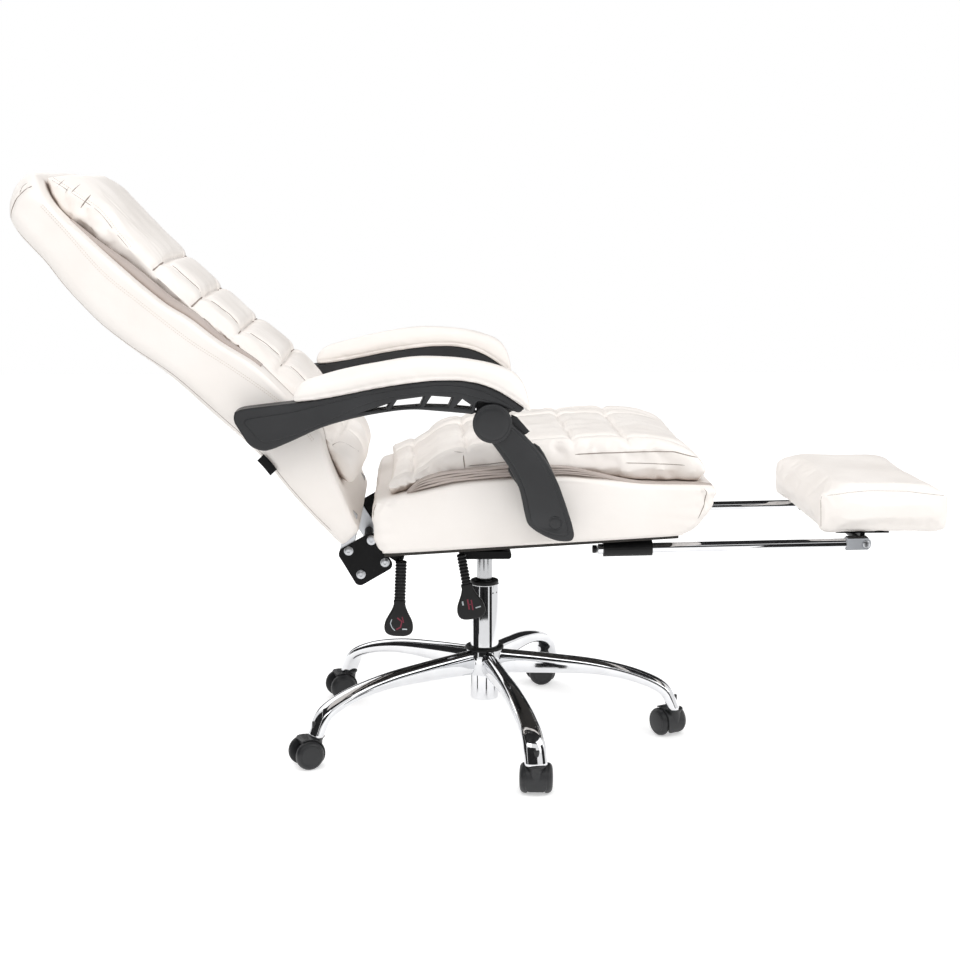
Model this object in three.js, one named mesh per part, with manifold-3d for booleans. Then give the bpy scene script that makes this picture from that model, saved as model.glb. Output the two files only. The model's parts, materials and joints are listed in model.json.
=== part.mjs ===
import * as THREE from "three";
import { mergeVertices } from "three/addons/utils/BufferGeometryUtils.js";
import Module from "manifold-3d";

const wasm = await Module();
wasm.setup();

// A reclining office chair with a pull-out footrest, laid back and with the footrest out.
// Lengths are millimetres and angles are degrees. The column stands on the z axis with the
// floor at z = 0, the seat faces +x, and the sitter's left side is +y.

// Running and seating clearances
const gap = 0.3;
const seatGap = 0.4;
const pivotGap = 0.3;
const overrun = 5;

// Five-legged base
const legCount = 5;
const baseRadius = 340;
const baseTurn = -5.8;
const hubRadius = 32;
const hubBottom = 113;
const hubTop = 157;
const hubRingRadius = 34.5;
const hubRingHeight = 6;
const legRootHeight = 45;
const legRootWidth = 26;
const legTipThickness = 21;
const legTipWidth = 38;
const legTipLevel = 53;
const legAxisLevel = 134;
const legSides = 8;

// Casters
const wheelRadius = 25;
const wheelWidth = 14;
const wheelFacets = 18;
const wheelInner = 13.4;
const wheelDome = 4;
const axleRadius = 3;
const casterTrail = 17;
const stemRadius = 5.2;
const stemGap = 0.8;
const stemLength = 24;
const hoodThickness = 2.5;
const hoodWidth = 36;
const hoodWeb = 25;
const hoodTop = 52.5;
const towerRadius = 12;
const hoodTurns = [-60, 10, 20, 25, -94];

// Gas column
const tubeRadius = 25;
const tubeWall = 2;
const tubeBottom = 66;
const tubeTop = 276;
const collarHeight = 7;
const collarSleeve = 60;
const cylinderRadius = 14;
const cylinderBottom = 140;
const cylinderTop = 372;
const cylinderBoreTop = 300;
const rodRadius = 5;
const rodTop = 240;
const bearingRadius = 13;
const bearingHeight = 8;

// Seat plate and housing under the seat
const plateLength = 86;
const plateBreadth = 190;
const plateLevel = 340;
const plateHeight = 13;
const plateCorner = 5;
const housingFront = 33;
const housingRear = -52;
const housingBreadth = 120;
const boardThickness = 5;
const boardInset = 20;

// Seat
const seatHalfWidth = 255;
const seatRear = -192;
const seatLength = 562;
const seatPitch = 3.3;
const seatLevel = 391;
const baseDepth = 122;
const seatCrown = 66;
const seatCorner = 26;
const channelPitch = 88;
const firstChannel = -125;
const channelDepth = 9;
const channelWidth = 9;
const bolsterSeam = 150;

// Recline hinge between the seat and the back
const reclineX = -194;
const reclineZ = 396;
const backLean = 44;
const reclineTravel = 30;
const pinRadius = 5;
const pinHeadRadius = 8.5;
const pinHead = 4.5;
const hingeInset = 63;
const hingePlate = 4;
const hingePlateSide = 70;
const hingeMargin = 10;
const hingeBoltPitch = 45;
const crossTubeRadius = 8;
const lockTubeRadius = 10;
const slotDepth = 50;
const hingeReach = 44;
const slotTop = 20;
const slotHalfWidth = 14;
const barThickness = 6;
const barWidth = 30;
const barMargin = 15;
const barTop = 150;

// Back
const backOverhang = 3;
const backTopInset = 44;
const backFoot = 46;
const backTop = 811;
const backThickness = 102;
const backCorner = 26;
const backSeamInset = 36;
const pillowFoot = 103;
const pillowTop = 790;
const pillowCrown = 52;
const backChannelPitch = 93;
const backFirstChannel = 585;
const backChannelDepth = 20;
const backSeam = 130;

// Arms
const armSetOut = 38;
const armWidth = 44;
const armPadWidth = 64;
const armPadThickness = 40;
const armLength = 452;
const armHeight = 110;
const armHingeX = -366;
const armHingeZ = 592;
const armTail = 36;
const armDrop = 28;
const armBossRadius = 15;
const discShares = [0.8916, 0.3818];
const discRadius = 31;
const discThickness = 6;
const knuckleRadius = 24;
const knucklePlay = 4;
const discPinRadius = 4;
const strutFootX = 101;
const strutFootZ = 446;
const strutThickness = 21;
const strutInnerThickness = 17;
const strutBossRadius = 12;

// Levers
const leverReach = 8;
const leverPlay = 0.6;
const reclineLeverX = -145;
const reclineLeverSetOut = 8;
const liftLeverX = -45;
const liftLeverY = -150;
const leverWireRadius = 3;
const leverTop = 370;
const reclineSleeveRadius = 9.5;
const liftSleeveRadius = 8;
const reclineSleeveLength = 66;
const liftSleeveLength = 52;
const sleeveTop = 362;
const sleeveBore = 3.6;
const ribDepth = 1.8;
const ribPitch = 5.5;
const paddleWidth = 48;
const paddleHeight = 62;
const paddleThickness = 11;
const paddleEdge = 2.5;
const paddleNeck = 17;

// Footrest
const railRadius = 8.5;
const railBore = 7;
const railTail = 9;
const railInset = 75;
const railPitch = 0.9;
const footReach = 263;
const footPivotZ = 382;
const clevisLength = 44;
const clevisSide = 20;
const clevisNose = 9;
const footRodRadius = 4;
const guideRadius = 13;
const guideLength = 82;
const guideSetback = 178;
const guideWeb = 6;
const guideFlangeWidth = 24;
const guideFlangeLength = 104;
const guideFlange = 3;
const footLength = 226;
const footSetOut = 7;
const footThickness = 75;
const footOverhang = 84;
const footLevel = 399;
const footCrown = 7;
const footEdge = 12;
const lugThickness = 4;
const barrelPlay = 7;
const lugPlateLength = 90;

// Places across the chair that follow the seat's width
const hingeCentre = seatHalfWidth - hingeInset;
const backHalfWidth = seatHalfWidth + backOverhang;
const backTopHalfWidth = backHalfWidth - backTopInset;
const backSeamWidth = backHalfWidth - backSeamInset;
const armCentre = seatHalfWidth + armSetOut;
const reclineLeverY = -hingeCentre - reclineLeverSetOut;
const railHalfSpacing = seatHalfWidth - railInset;
const footHalfWidth = railHalfSpacing + footSetOut;

const rad = (degrees) => (degrees * Math.PI) / 180;
const sides = [
  ["left", 1],
  ["right", -1],
];
const between = (a, b) => [Math.min(a, b), Math.max(a, b)];

// Finishes
const finish = (color, roughness, metalness = 0) =>
  new THREE.MeshStandardMaterial({ color, roughness, metalness });
const leather = finish(0xf6f1ea, 0.55);
const blackPlastic = finish(0x2b2c2e, 0.5);
const softBlack = finish(0x1c1c1d, 0.7);
const chrome = finish(0xd8d9dc, 0.12, 1);
const steel = finish(0x9b9da0, 0.35, 1);
const blackSteel = finish(0x17181a, 0.45, 0.4);
const board = finish(0x2a2725, 0.85);

// Closed solid from points and triangles, turned to face outwards
function shell(points, faces) {
  const at = (i) => new THREE.Vector3(...points[i]);
  let volume = 0;
  for (const [a, b, c] of faces) volume += at(a).dot(at(b).cross(at(c)));
  const turned = volume < 0 ? faces.map(([a, b, c]) => [a, c, b]) : faces;
  const geometry = new THREE.BufferGeometry();
  geometry.setAttribute("position", new THREE.Float32BufferAttribute(points.flat(), 3));
  geometry.setIndex(turned.flat());
  return geometry;
}

// Skin over rings that all have the same number of points, closed by a fan at each end
function loft(rings) {
  const count = rings[0].length;
  const points = rings.flat();
  const faces = [];
  for (let r = 0; r + 1 < rings.length; r++)
    for (let i = 0; i < count; i++) {
      const j = (i + 1) % count;
      const a = r * count;
      const b = a + count;
      faces.push([a + i, a + j, b + j], [a + i, b + j, b + i]);
    }
  for (const [ring, start, flip] of [
    [rings[0], 0, true],
    [rings[rings.length - 1], (rings.length - 1) * count, false],
  ]) {
    const centre = [0, 1, 2].map((k) => ring.reduce((sum, p) => sum + p[k], 0) / count);
    points.push(centre);
    for (let i = 0; i < count; i++) {
      const j = (i + 1) % count;
      const face = [start + i, start + j, points.length - 1];
      faces.push(flip ? face.reverse() : face);
    }
  }
  return shell(points, faces);
}

// Stations from -1 to 1: both edges, a row on and beside every seam, one between seams, and others
function stationsFor(seamShares, seamWidthShare, otherShares = []) {
  const rows = [-1, -0.985, -0.94, ...otherShares];
  seamShares.forEach((seam, i) => {
    rows.push(seam - seamWidthShare, seam, seam + seamWidthShare);
    if (i + 1 < seamShares.length) rows.push((seam + seamShares[i + 1]) / 2);
  });
  return [...rows, 0.94, 0.985, 1].sort((a, b) => a - b);
}

const acrossStations = (seamShare, seamWidthShare) =>
  stationsFor([-seamShare, seamShare], seamWidthShare);

// Pad whose top and bottom skins meet in one seam round its edge.
// place(u, v, side) gives a point for each station, with side 1 on top and -1 below
function pad(us, vs, place) {
  const across = us.length - 1;
  const along = vs.length - 1;
  const points = [];
  const index = {};
  for (const side of [1, -1])
    for (let i = 0; i <= across; i++)
      for (let j = 0; j <= along; j++) {
        const rim = i === 0 || j === 0 || i === across || j === along;
        const key = `${rim ? 0 : side},${i},${j}`;
        if (key in index) continue;
        index[key] = points.length;
        points.push(place(us[i], vs[j], rim ? 0 : side));
      }
  const faces = [];
  for (const side of [1, -1]) {
    const at = (i, j) => {
      const rim = i === 0 || j === 0 || i === across || j === along;
      return index[`${rim ? 0 : side},${i},${j}`];
    };
    for (let i = 0; i < across; i++)
      for (let j = 0; j < along; j++) {
        const [a, b, c, d] = [at(i, j), at(i + 1, j), at(i + 1, j + 1), at(i, j + 1)];
        const halves = [[a, b, c], [a, c, d]];
        faces.push(...(side > 0 ? halves : halves.map((face) => face.reverse())));
      }
  }
  return shell(points, faces);
}

// Solids for cutting and joining
function solid(geometry) {
  const plain = geometry.clone();
  plain.deleteAttribute("normal");
  plain.deleteAttribute("uv");
  const merged = mergeVertices(plain);
  return new wasm.Manifold(
    new wasm.Mesh({
      numProp: 3,
      vertProperties: merged.attributes.position.array,
      triVerts: new Uint32Array(merged.index.array),
    }),
  );
}

function geometryOf(body) {
  const mesh = body.getMesh();
  const geometry = new THREE.BufferGeometry();
  const at = new Float32Array(mesh.numVert * 3);
  for (let i = 0; i < mesh.numVert; i++)
    at.set(mesh.vertProperties.subarray(i * mesh.numProp, i * mesh.numProp + 3), i * 3);
  geometry.setAttribute("position", new THREE.BufferAttribute(at, 3));
  geometry.setIndex(new THREE.BufferAttribute(mesh.triVerts, 1));
  return geometry;
}

const joined = (...parts) => geometryOf(parts.map(solid).reduce((all, part) => all.add(part)));
const cut = (whole, ...tools) =>
  geometryOf(tools.map(solid).reduce((left, tool) => left.subtract(tool), solid(whole)));

// Simple forms, placed where they belong
const moved = (geometry, x, y, z) => geometry.translate(x, y, z);
const block = (x0, x1, y0, y1, z0, z1) =>
  moved(
    new THREE.BoxGeometry(x1 - x0, y1 - y0, z1 - z0),
    (x0 + x1) / 2,
    (y0 + y1) / 2,
    (z0 + z1) / 2,
  );
const uprightRod = (radius, x, y, z0, z1, facets = 20) =>
  moved(
    new THREE.CylinderGeometry(radius, radius, z1 - z0, facets).rotateX(rad(90)),
    x,
    y,
    (z0 + z1) / 2,
  );
const crossRod = (radius, x, z, y0, y1, facets = 20) =>
  moved(new THREE.CylinderGeometry(radius, radius, y1 - y0, facets), x, (y0 + y1) / 2, z);

// Turned piece: a profile of [radius, z] points spun round the z axis
function turned(profile, facets = 20) {
  const points = profile.map(([r, z]) => new THREE.Vector2(r, z));
  return new THREE.LatheGeometry(points, facets).rotateX(rad(90));
}

// Plate of a side-view outline (x, z), reaching from y0 to y1
function plate(shape, y0, y1, curveSegments = 8) {
  const options = { depth: y1 - y0, bevelEnabled: false, curveSegments };
  const flat = new THREE.ExtrudeGeometry(shape, options);
  return moved(flat.rotateX(rad(90)), 0, y1, 0);
}

const roundHole = (x, z, radius) => new THREE.Path().absarc(x, z, radius, 0, 2 * Math.PI, true);

function roundedBox(x0, x1, z0, z1, corner) {
  const shape = new THREE.Shape();
  shape.moveTo(x0 + corner, z0);
  shape.lineTo(x1 - corner, z0);
  shape.absarc(x1 - corner, z0 + corner, corner, -Math.PI / 2, 0);
  shape.absarc(x1 - corner, z1 - corner, corner, 0, Math.PI / 2);
  shape.absarc(x0 + corner, z1 - corner, corner, Math.PI / 2, Math.PI);
  shape.absarc(x0 + corner, z0 + corner, corner, Math.PI, 1.5 * Math.PI);
  return shape;
}

// Smooth value along a table of [share of the way, value] rows
function along(rows) {
  const last = rows.length - 1;
  return (t) => {
    let i = 0;
    while (i < last - 1 && t > rows[i + 1][0]) i++;
    const before = rows[Math.max(i - 1, 0)];
    const [t0, v0] = rows[i];
    const [t1, v1] = rows[i + 1];
    const after = rows[Math.min(i + 2, last)];
    const span = t1 - t0;
    const s = Math.min(Math.max((t - t0) / span, 0), 1);
    const m0 = i > 0 ? ((v1 - before[1]) / (t1 - before[0])) * span : v1 - v0;
    const m1 = i + 1 < last ? ((after[1] - v0) / (after[0] - t0)) * span : v1 - v0;
    const s2 = s * s;
    const s3 = s2 * s;
    const rise = 3 * s2 - 2 * s3;
    return v0 * (1 - rise) + m0 * (s3 - 2 * s2 + s) + v1 * rise + m1 * (s3 - s2);
  };
}

const chair = new THREE.Group();
function add(name, geometry, material, parent = chair) {
  const mesh = new THREE.Mesh(geometry, material);
  mesh.name = name;
  parent.add(mesh);
  return mesh;
}

// Star base: a hub and five pressed legs, tall where they are welded and flat over the casters
const legRun = along([[0, 0.07], [0.25, 0.36], [0.5, 0.62], [0.68, 0.81], [0.83, 0.94], [1, 1]]);
const legFall = along([[0, 0], [0.25, -0.04], [0.5, -0.12], [0.68, -0.3], [0.83, -0.56], [1, -1]]);
const legWidthShare = along([[0, 0], [0.3, 0.1], [0.7, 0.7], [1, 1]]);
const legHeightShare = along([[0, 0], [0.3, 0.5], [0.6, 0.9], [1, 1]]);

function legGeometry(turn) {
  const steps = 9;
  const pathAt = (t) =>
    new THREE.Vector2(baseRadius * legRun(t), legAxisLevel + (legAxisLevel - legTipLevel) * legFall(t));
  const rings = [];
  for (let s = 0; s <= steps; s++) {
    const t = s / steps;
    const here = pathAt(t);
    const nudge = 0.02;
    const slope = pathAt(Math.min(t + nudge, 1)).sub(pathAt(Math.max(t - nudge, 0))).normalize();
    if (s === steps) slope.set(0, -1);
    const width = legRootWidth + (legTipWidth - legRootWidth) * legWidthShare(t);
    const height = legRootHeight + (legTipThickness - legRootHeight) * legHeightShare(t);
    const ring = [];
    for (let i = 0; i < legSides; i++) {
      const angle = (2 * Math.PI * i) / legSides;
      const rise = (Math.sin(angle) * height) / 2;
      const r = here.x - slope.y * rise;
      const z = here.y + slope.x * rise;
      ring.push([r, (Math.cos(angle) * width) / 2, z]);
    }
    rings.push(ring);
  }
  return loft(rings).rotateZ(turn);
}

const legTurn = (k) => rad(baseTurn + (360 / legCount) * k);
const legs = [...Array(legCount).keys()];
const stems = legs.map((k) => [baseRadius * Math.cos(legTurn(k)), baseRadius * Math.sin(legTurn(k))]);
const hub = uprightRod(hubRadius, 0, 0, hubBottom, hubTop, 20);
const stemTop = hoodTop + stemLength;
const welded = joined(hub, ...legs.map((k) => legGeometry(legTurn(k))));
add(
  "star_base",
  cut(
    welded,
    uprightRod(tubeRadius + gap, 0, 0, hubBottom - overrun, hubTop + overrun, 20),
    ...stems.map(([x, y]) => uprightRod(stemRadius + stemGap, x, y, legTipLevel - overrun, stemTop + gap, 8)),
  ),
  chrome,
);
add(
  "hub_ring",
  turned([
    [tubeRadius + gap, hubTop + gap],
    [hubRingRadius, hubTop + gap],
    [hubRingRadius, hubTop + hubRingHeight * 0.6],
    [hubRingRadius - hubRingHeight * 0.4, hubTop + hubRingHeight],
    [tubeRadius + gap, hubTop + hubRingHeight],
    [tubeRadius + gap, hubTop + gap],
  ]),
  softBlack,
);

// Casters: a hood with its stem, and two wheels on the hood's axle
function hoodGeometry() {
  const start = rad(-38);
  const end = rad(118);
  const inside = wheelRadius + seatGap * 2;
  const outside = inside + hoodThickness;
  const fender = new THREE.Shape();
  fender.absarc(0, 0, outside, start, end, false);
  fender.absarc(0, 0, inside, end, start, true);
  const web = new THREE.Shape();
  web.absarc(0, 0, inside + hoodThickness / 2, start, end, false);
  web.absarc(0, 0, wheelRadius * 0.55, end, start + 2 * Math.PI, false);
  const rise = hoodTop - wheelRadius;
  const cover = cut(
    joined(plate(fender, -hoodWidth / 2, hoodWidth / 2, 6), plate(web, -hoodWeb / 2, hoodWeb / 2, 4)),
    block(-outside, outside, -hoodWidth, hoodWidth, rise, outside + overrun),
  );
  return joined(
    cover,
    uprightRod(towerRadius, casterTrail, 0, 0, rise, 10),
    uprightRod(stemRadius, casterTrail, 0, 0, rise + stemLength, 8),
    crossRod(axleRadius, 0, 0, -wheelInner - wheelWidth * 0.7, wheelInner + wheelWidth * 0.7, 6),
  );
}

// The wheel stands on the middle of a facet, so its corners lie a little further out
function wheelGeometry(side) {
  const corner = wheelRadius / Math.cos(Math.PI / wheelFacets);
  const profile = [
    [axleRadius + gap, 0],
    [corner, 0],
    [corner, wheelWidth - wheelDome],
    [corner * 0.88, wheelWidth - wheelDome * 0.2],
    [0, wheelWidth],
    [0, wheelWidth - wheelDome / 2],
    [axleRadius + gap, wheelWidth - wheelDome / 2],
    [axleRadius + gap, 0],
  ];
  const points = profile.map(([r, w]) => new THREE.Vector2(r, w));
  const wheel = new THREE.LatheGeometry(points, wheelFacets, Math.PI / wheelFacets);
  if (side < 0) wheel.rotateX(Math.PI);
  return moved(wheel, 0, side * wheelInner, 0);
}

for (const k of legs) {
  const caster = new THREE.Group();
  const turn = rad(hoodTurns[k]);
  const [x, y] = stems[k];
  caster.position.set(x - casterTrail * Math.cos(turn), y - casterTrail * Math.sin(turn), wheelRadius);
  caster.rotation.z = turn;
  chair.add(caster);
  add(`caster_hood_${k + 1}`, hoodGeometry(), softBlack, caster);
  add(`caster_wheel_${k + 1}_left`, wheelGeometry(1), blackPlastic, caster);
  add(`caster_wheel_${k + 1}_right`, wheelGeometry(-1), blackPlastic, caster);
}

// Gas column: an outer tube in the hub, a bush in its mouth, and a rod clipped into its floor
const tubeInner = tubeRadius - tubeWall;
add(
  "column_tube",
  turned([
    [rodRadius + gap, tubeBottom],
    [tubeRadius, tubeBottom],
    [tubeRadius, tubeTop],
    [tubeInner, tubeTop],
    [tubeInner, tubeBottom + tubeWall],
    [rodRadius + gap, tubeBottom + tubeWall],
    [rodRadius + gap, tubeBottom],
  ]),
  chrome,
);
add(
  "column_collar",
  turned([
    [cylinderRadius + gap, tubeTop - collarSleeve],
    [tubeInner - gap, tubeTop - collarSleeve],
    [tubeInner - gap, tubeTop + gap],
    [tubeRadius, tubeTop + gap],
    [tubeRadius, tubeTop + collarHeight - tubeWall],
    [tubeRadius - tubeWall, tubeTop + collarHeight],
    [cylinderRadius + gap, tubeTop + collarHeight],
    [cylinderRadius + gap, tubeTop - collarSleeve],
  ]),
  softBlack,
);
const bearingBottom = tubeBottom + tubeWall + gap;
add(
  "thrust_bearing",
  turned([
    [rodRadius + gap, bearingBottom],
    [bearingRadius, bearingBottom],
    [bearingRadius, bearingBottom + bearingHeight],
    [rodRadius + gap, bearingBottom + bearingHeight],
    [rodRadius + gap, bearingBottom],
  ]),
  steel,
);
const shoulderBottom = bearingBottom + bearingHeight + gap;
add(
  "piston_rod",
  turned(
    [
      [0, tubeBottom],
      [rodRadius, tubeBottom],
      [rodRadius, shoulderBottom],
      [bearingRadius * 0.7, shoulderBottom],
      [bearingRadius * 0.7, shoulderBottom + tubeWall],
      [rodRadius, shoulderBottom + tubeWall],
      [rodRadius, rodTop],
      [0, rodTop],
    ],
    20,
  ),
  chrome,
);
add(
  "gas_cylinder",
  turned([
    [rodRadius + gap, cylinderBottom],
    [cylinderRadius, cylinderBottom],
    [cylinderRadius, cylinderTop],
    [0, cylinderTop],
    [0, cylinderBoreTop],
    [rodRadius + gap, cylinderBoreTop],
    [rodRadius + gap, cylinderBottom],
  ]),
  chrome,
);

// Seat plate and socket housing, under a board that lies flat against the seat
const seatSlope = Math.tan(rad(seatPitch));
const undersideAt = (x) => seatLevel + seatSlope * x;
const boardBottomAt = (x) => undersideAt(x) - gap - boardThickness;
const tray = roundedBox(-plateLength / 2, plateLength / 2, plateLevel, plateLevel + plateHeight, plateCorner);
const housing = new THREE.Shape();
housing.moveTo(housingRear, plateLevel + plateHeight / 2);
housing.lineTo(housingFront, plateLevel + plateHeight / 2);
housing.lineTo(housingFront, boardBottomAt(housingFront) - gap);
housing.lineTo(housingRear, boardBottomAt(housingRear) - gap);
add(
  "mechanism",
  cut(
    joined(
      plate(tray, -plateBreadth / 2, plateBreadth / 2, 4),
      plate(housing, -housingBreadth / 2, housingBreadth / 2),
    ),
    uprightRod(cylinderRadius + gap, 0, 0, plateLevel - overrun, cylinderTop + gap, 20),
  ),
  blackSteel,
);
const seatFront = seatRear + seatLength;
const boardRear = seatRear + boardInset;
const boardFront = seatFront - boardInset * 3;
const boardShape = new THREE.Shape();
boardShape.moveTo(boardRear, boardBottomAt(boardRear));
boardShape.lineTo(boardFront, boardBottomAt(boardFront));
boardShape.lineTo(boardFront, boardBottomAt(boardFront) + boardThickness);
boardShape.lineTo(boardRear, boardBottomAt(boardRear) + boardThickness);

// The hinge plates rise into slots through the board and the box above it
const slot = (side) => {
  const [y0, y1] = between(side * (hingeCentre - slotHalfWidth), side * (hingeCentre + slotHalfWidth));
  return block(
    seatRear - overrun,
    seatRear + slotDepth,
    y0,
    y1,
    seatLevel - slotDepth,
    reclineZ + slotTop,
  );
};
const slots = [slot(-1), slot(1)];
const boardBlank = plate(boardShape, -seatHalfWidth + boardInset, seatHalfWidth - boardInset);
add("seat_board", cut(boardBlank, ...slots), board);

// Seat: a padded box, and a channelled cushion sewn on top of it.
// Shares are of the seat's length and of the box's depth above the sloping underside
const seamShares = along([
  [0, 0.72], [0.06, 0.76], [0.11, 0.83], [0.24, 0.96], [0.41, 1],
  [0.55, 0.98], [0.65, 0.91], [0.78, 0.78], [1, 0.66],
]);
const seatNoseShares = [[0.93, 0], [0.955, 0.1], [0.985, 0.28], [1, 0.48]];
const seatTailShares = [[0.03, 0], [0.008, 0.06], [0, 0.2], [0, 0.5]];
const seatAt = ([share, rise]) => {
  const x = seatRear + seatLength * share;
  return [x, undersideAt(x) + baseDepth * rise];
};
const seamAt = (share) => seatAt([share, seamShares(share)]);

// The cushion's sewn channels; the box below shares their stations, so the two lie together
const channelCount = 5;
const channels = [...Array(channelCount).keys()].map((i) => firstChannel + channelPitch * i);
const seatStations = stationsFor(
  channels.map((x) => (2 * (x - seatRear)) / seatLength - 1),
  (2 * channelWidth) / seatLength,
);

function seatBaseGeometry() {
  const topShares = seatStations.slice(1, -1).map((u) => (1 + u) / 2);
  const outline = [
    ...[0.3, 0.6].map((share) => seatAt([share, 0])),
    ...seatNoseShares.map(seatAt),
    ...topShares.map(seamAt).reverse(),
    ...[...seatTailShares].reverse().map(seatAt),
  ];
  const middle = [seatRear + seatLength / 2, undersideAt(seatRear + seatLength / 2) + baseDepth / 2];
  const stations = [[1, 1], [0.988, 0.45], [0.96, 0.15], [0.9, 0]];
  const rings = [];
  const ring = (side, share, inset) =>
    outline.map(([x, z]) => {
      const pull = 1 - (inset * seatCorner * 2) / seatLength;
      const lift = 1 - (inset * seatCorner * 0.35) / baseDepth;
      return [
        middle[0] + (x - middle[0]) * pull,
        side * seatHalfWidth * share,
        middle[1] + (z - middle[1]) * lift,
      ];
    });
  for (const [share, inset] of stations) rings.push(ring(-1, share, inset));
  for (const [share, inset] of [...stations].reverse()) rings.push(ring(1, share, inset));
  return loft(rings);
}

add("seat_base", cut(seatBaseGeometry(), ...slots), leather);

// A sewn channel pulls the cover down along a line
const dip = (distance, width) => Math.exp(-((distance / width) ** 2));
const crownShares = along([
  [0, 0.14], [0.09, 0.3], [0.15, 0.33], [0.2, 0.54], [0.27, 0.65], [0.38, 0.68],
  [0.51, 0.74], [0.62, 0.88], [0.72, 1.02], [0.81, 1.08], [0.91, 0.94], [1, 0.6],
]);
const seatCushionHalf = seatHalfWidth * 0.985;
function seatCushionPoint(u, v, side) {
  const corner = 1 - 0.05 * (u * v) ** 8;
  const share = (1 + u) / 2;
  const y = seatCushionHalf * v * corner;
  const [x, seam] = seamAt(share);
  const seated = seam + seatGap;
  if (side <= 0) return [x, y, seated];
  const round = Math.sqrt((1 - u ** 12) * (1 - v ** 8));
  let height = seatCrown * crownShares(share) * round;
  const nearest = Math.min(...channels.map((channel) => Math.abs(x - channel)));
  const sewn = Math.max(dip(nearest, channelWidth), dip(Math.abs(y) - bolsterSeam, channelWidth));
  height -= Math.min(channelDepth * sewn * round, height * 0.6);
  return [x, y, seated + height];
}
const seatAcross = acrossStations(bolsterSeam / seatCushionHalf, channelWidth / seatCushionHalf);
add("seat_cushion", pad(seatStations, seatAcross, seatCushionPoint), leather);

// Recline hinge: two plates under the seat, two plates on the back, and a pin through each pair
const lockX = reclineX + hingeReach;
const lockZ = boardBottomAt(lockX) - lockTubeRadius - gap;
const seatPlateY = hingeCentre - hingePlate - gap;
function seatHingeGeometry(side) {
  const arm = new THREE.Shape();
  const run = Math.atan2(reclineZ - lockZ, reclineX - lockX);
  arm.absarc(lockX, lockZ, lockTubeRadius, run + rad(90), run + rad(270), false);
  arm.absarc(reclineX, reclineZ, hingeMargin, run - rad(90), run + rad(90), false);
  const [y0, y1] = between(side * seatPlateY, side * (seatPlateY - hingePlate));
  return cut(
    plate(arm, y0, y1, 10),
    crossRod(pinRadius + gap, reclineX, reclineZ, y0 - overrun, y1 + overrun, 16),
  );
}
const lockReach = seatPlateY - hingePlate - gap;
add("lock_tube", crossRod(lockTubeRadius, lockX, lockZ, -lockReach, lockReach, 16), blackSteel);

const hingeTilt = rad(reclineTravel);
const hingePoint = (e, f) => [
  reclineX + e * Math.cos(hingeTilt) - f * Math.sin(hingeTilt),
  reclineZ + e * Math.sin(hingeTilt) + f * Math.cos(hingeTilt),
];
const hingeBolts = [hingePoint(-hingeBoltPitch, 0), hingePoint(-hingeBoltPitch, -hingeBoltPitch)];
function backHingeGeometry(side) {
  const shape = roundedBox(
    hingeMargin - hingePlateSide,
    hingeMargin,
    hingeMargin * 1.2 - hingePlateSide,
    hingeMargin * 1.2,
    hingeMargin,
  );
  shape.holes.push(roundHole(0, 0, pinRadius + gap));
  const [y0, y1] = between(side * hingeCentre, side * (hingeCentre + hingePlate));
  return plate(shape, y0, y1, 5).rotateY(-hingeTilt).translate(reclineX, 0, reclineZ);
}
const tubeReach = hingeCentre - gap;
["upper", "lower"].forEach((name, i) => {
  const [x, z] = hingeBolts[i];
  const tube = crossRod(crossTubeRadius, x, z, -tubeReach, tubeReach, 16);
  add(`back_cross_tube_${name}`, tube, blackSteel);
});

for (const [name, side] of sides) {
  add(`seat_hinge_plate_${name}`, seatHingeGeometry(side), blackSteel);
  add(`back_hinge_plate_${name}`, backHingeGeometry(side), blackSteel);
  const inner = seatPlateY - hingePlate * 2;
  const outer = hingeCentre + hingePlate + gap;
  const shank = crossRod(pinRadius, reclineX, reclineZ, inner, outer + pinHead / 2, 16);
  const head = crossRod(pinHeadRadius, reclineX, reclineZ, outer, outer + pinHead, 20);
  const pin = joined(shank, head);
  if (side < 0) pin.rotateZ(Math.PI).translate(2 * reclineX, 0, 0);
  add(`recline_pin_${name}`, pin, steel);
}

// Back: everything here is measured from the recline pin, forwards and up along the back
const back = new THREE.Group();
back.position.set(reclineX, 0, reclineZ);
back.rotation.y = -rad(backLean);
chair.add(back);

const backHeight = backTop - backFoot;
const rearShares = along([
  [0, -0.36], [0.15, -0.3], [0.28, -0.245], [0.48, -0.345], [0.61, -0.44],
  [0.72, -0.475], [0.84, -0.44], [0.94, -0.45], [0.975, -0.33], [1, 0],
]);
const frontShares = along([
  [0, 0.06], [0.03, 0.18], [0.06, 0.27], [0.095, 0.38], [0.15, 0.57], [0.19, 0.74],
  [0.28, 0.76], [0.38, 0.74], [0.47, 0.58], [0.55, 0.5], [0.65, 0.43], [0.72, 0.4],
  [0.79, 0.3], [0.87, 0.265], [0.93, 0.31], [0.96, 0.5], [0.985, 0.5], [1, 0.25],
]);
const sideShares = along([
  [0, 0.93], [0.05, 0.98], [0.15, 1], [0.6, 1], [0.85, 0.99],
  [0.95, 0.97], [0.976, 0.93], [0.988, 0.86], [1, 0.66],
]);
const backRearAt = (z) => backThickness * rearShares((z - backFoot) / backHeight);
const backFrontAt = (z) => backThickness * frontShares((z - backFoot) / backHeight);
const taper = (z) => {
  const share = Math.max((z - backFoot) / backHeight - 0.45, 0) / 0.55;
  return backHalfWidth + (backTopHalfWidth - backHalfWidth) * share * share;
};
const backWidthAt = (z) => taper(z) * Math.min(sideShares((z - backFoot) / backHeight), 1);

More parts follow.
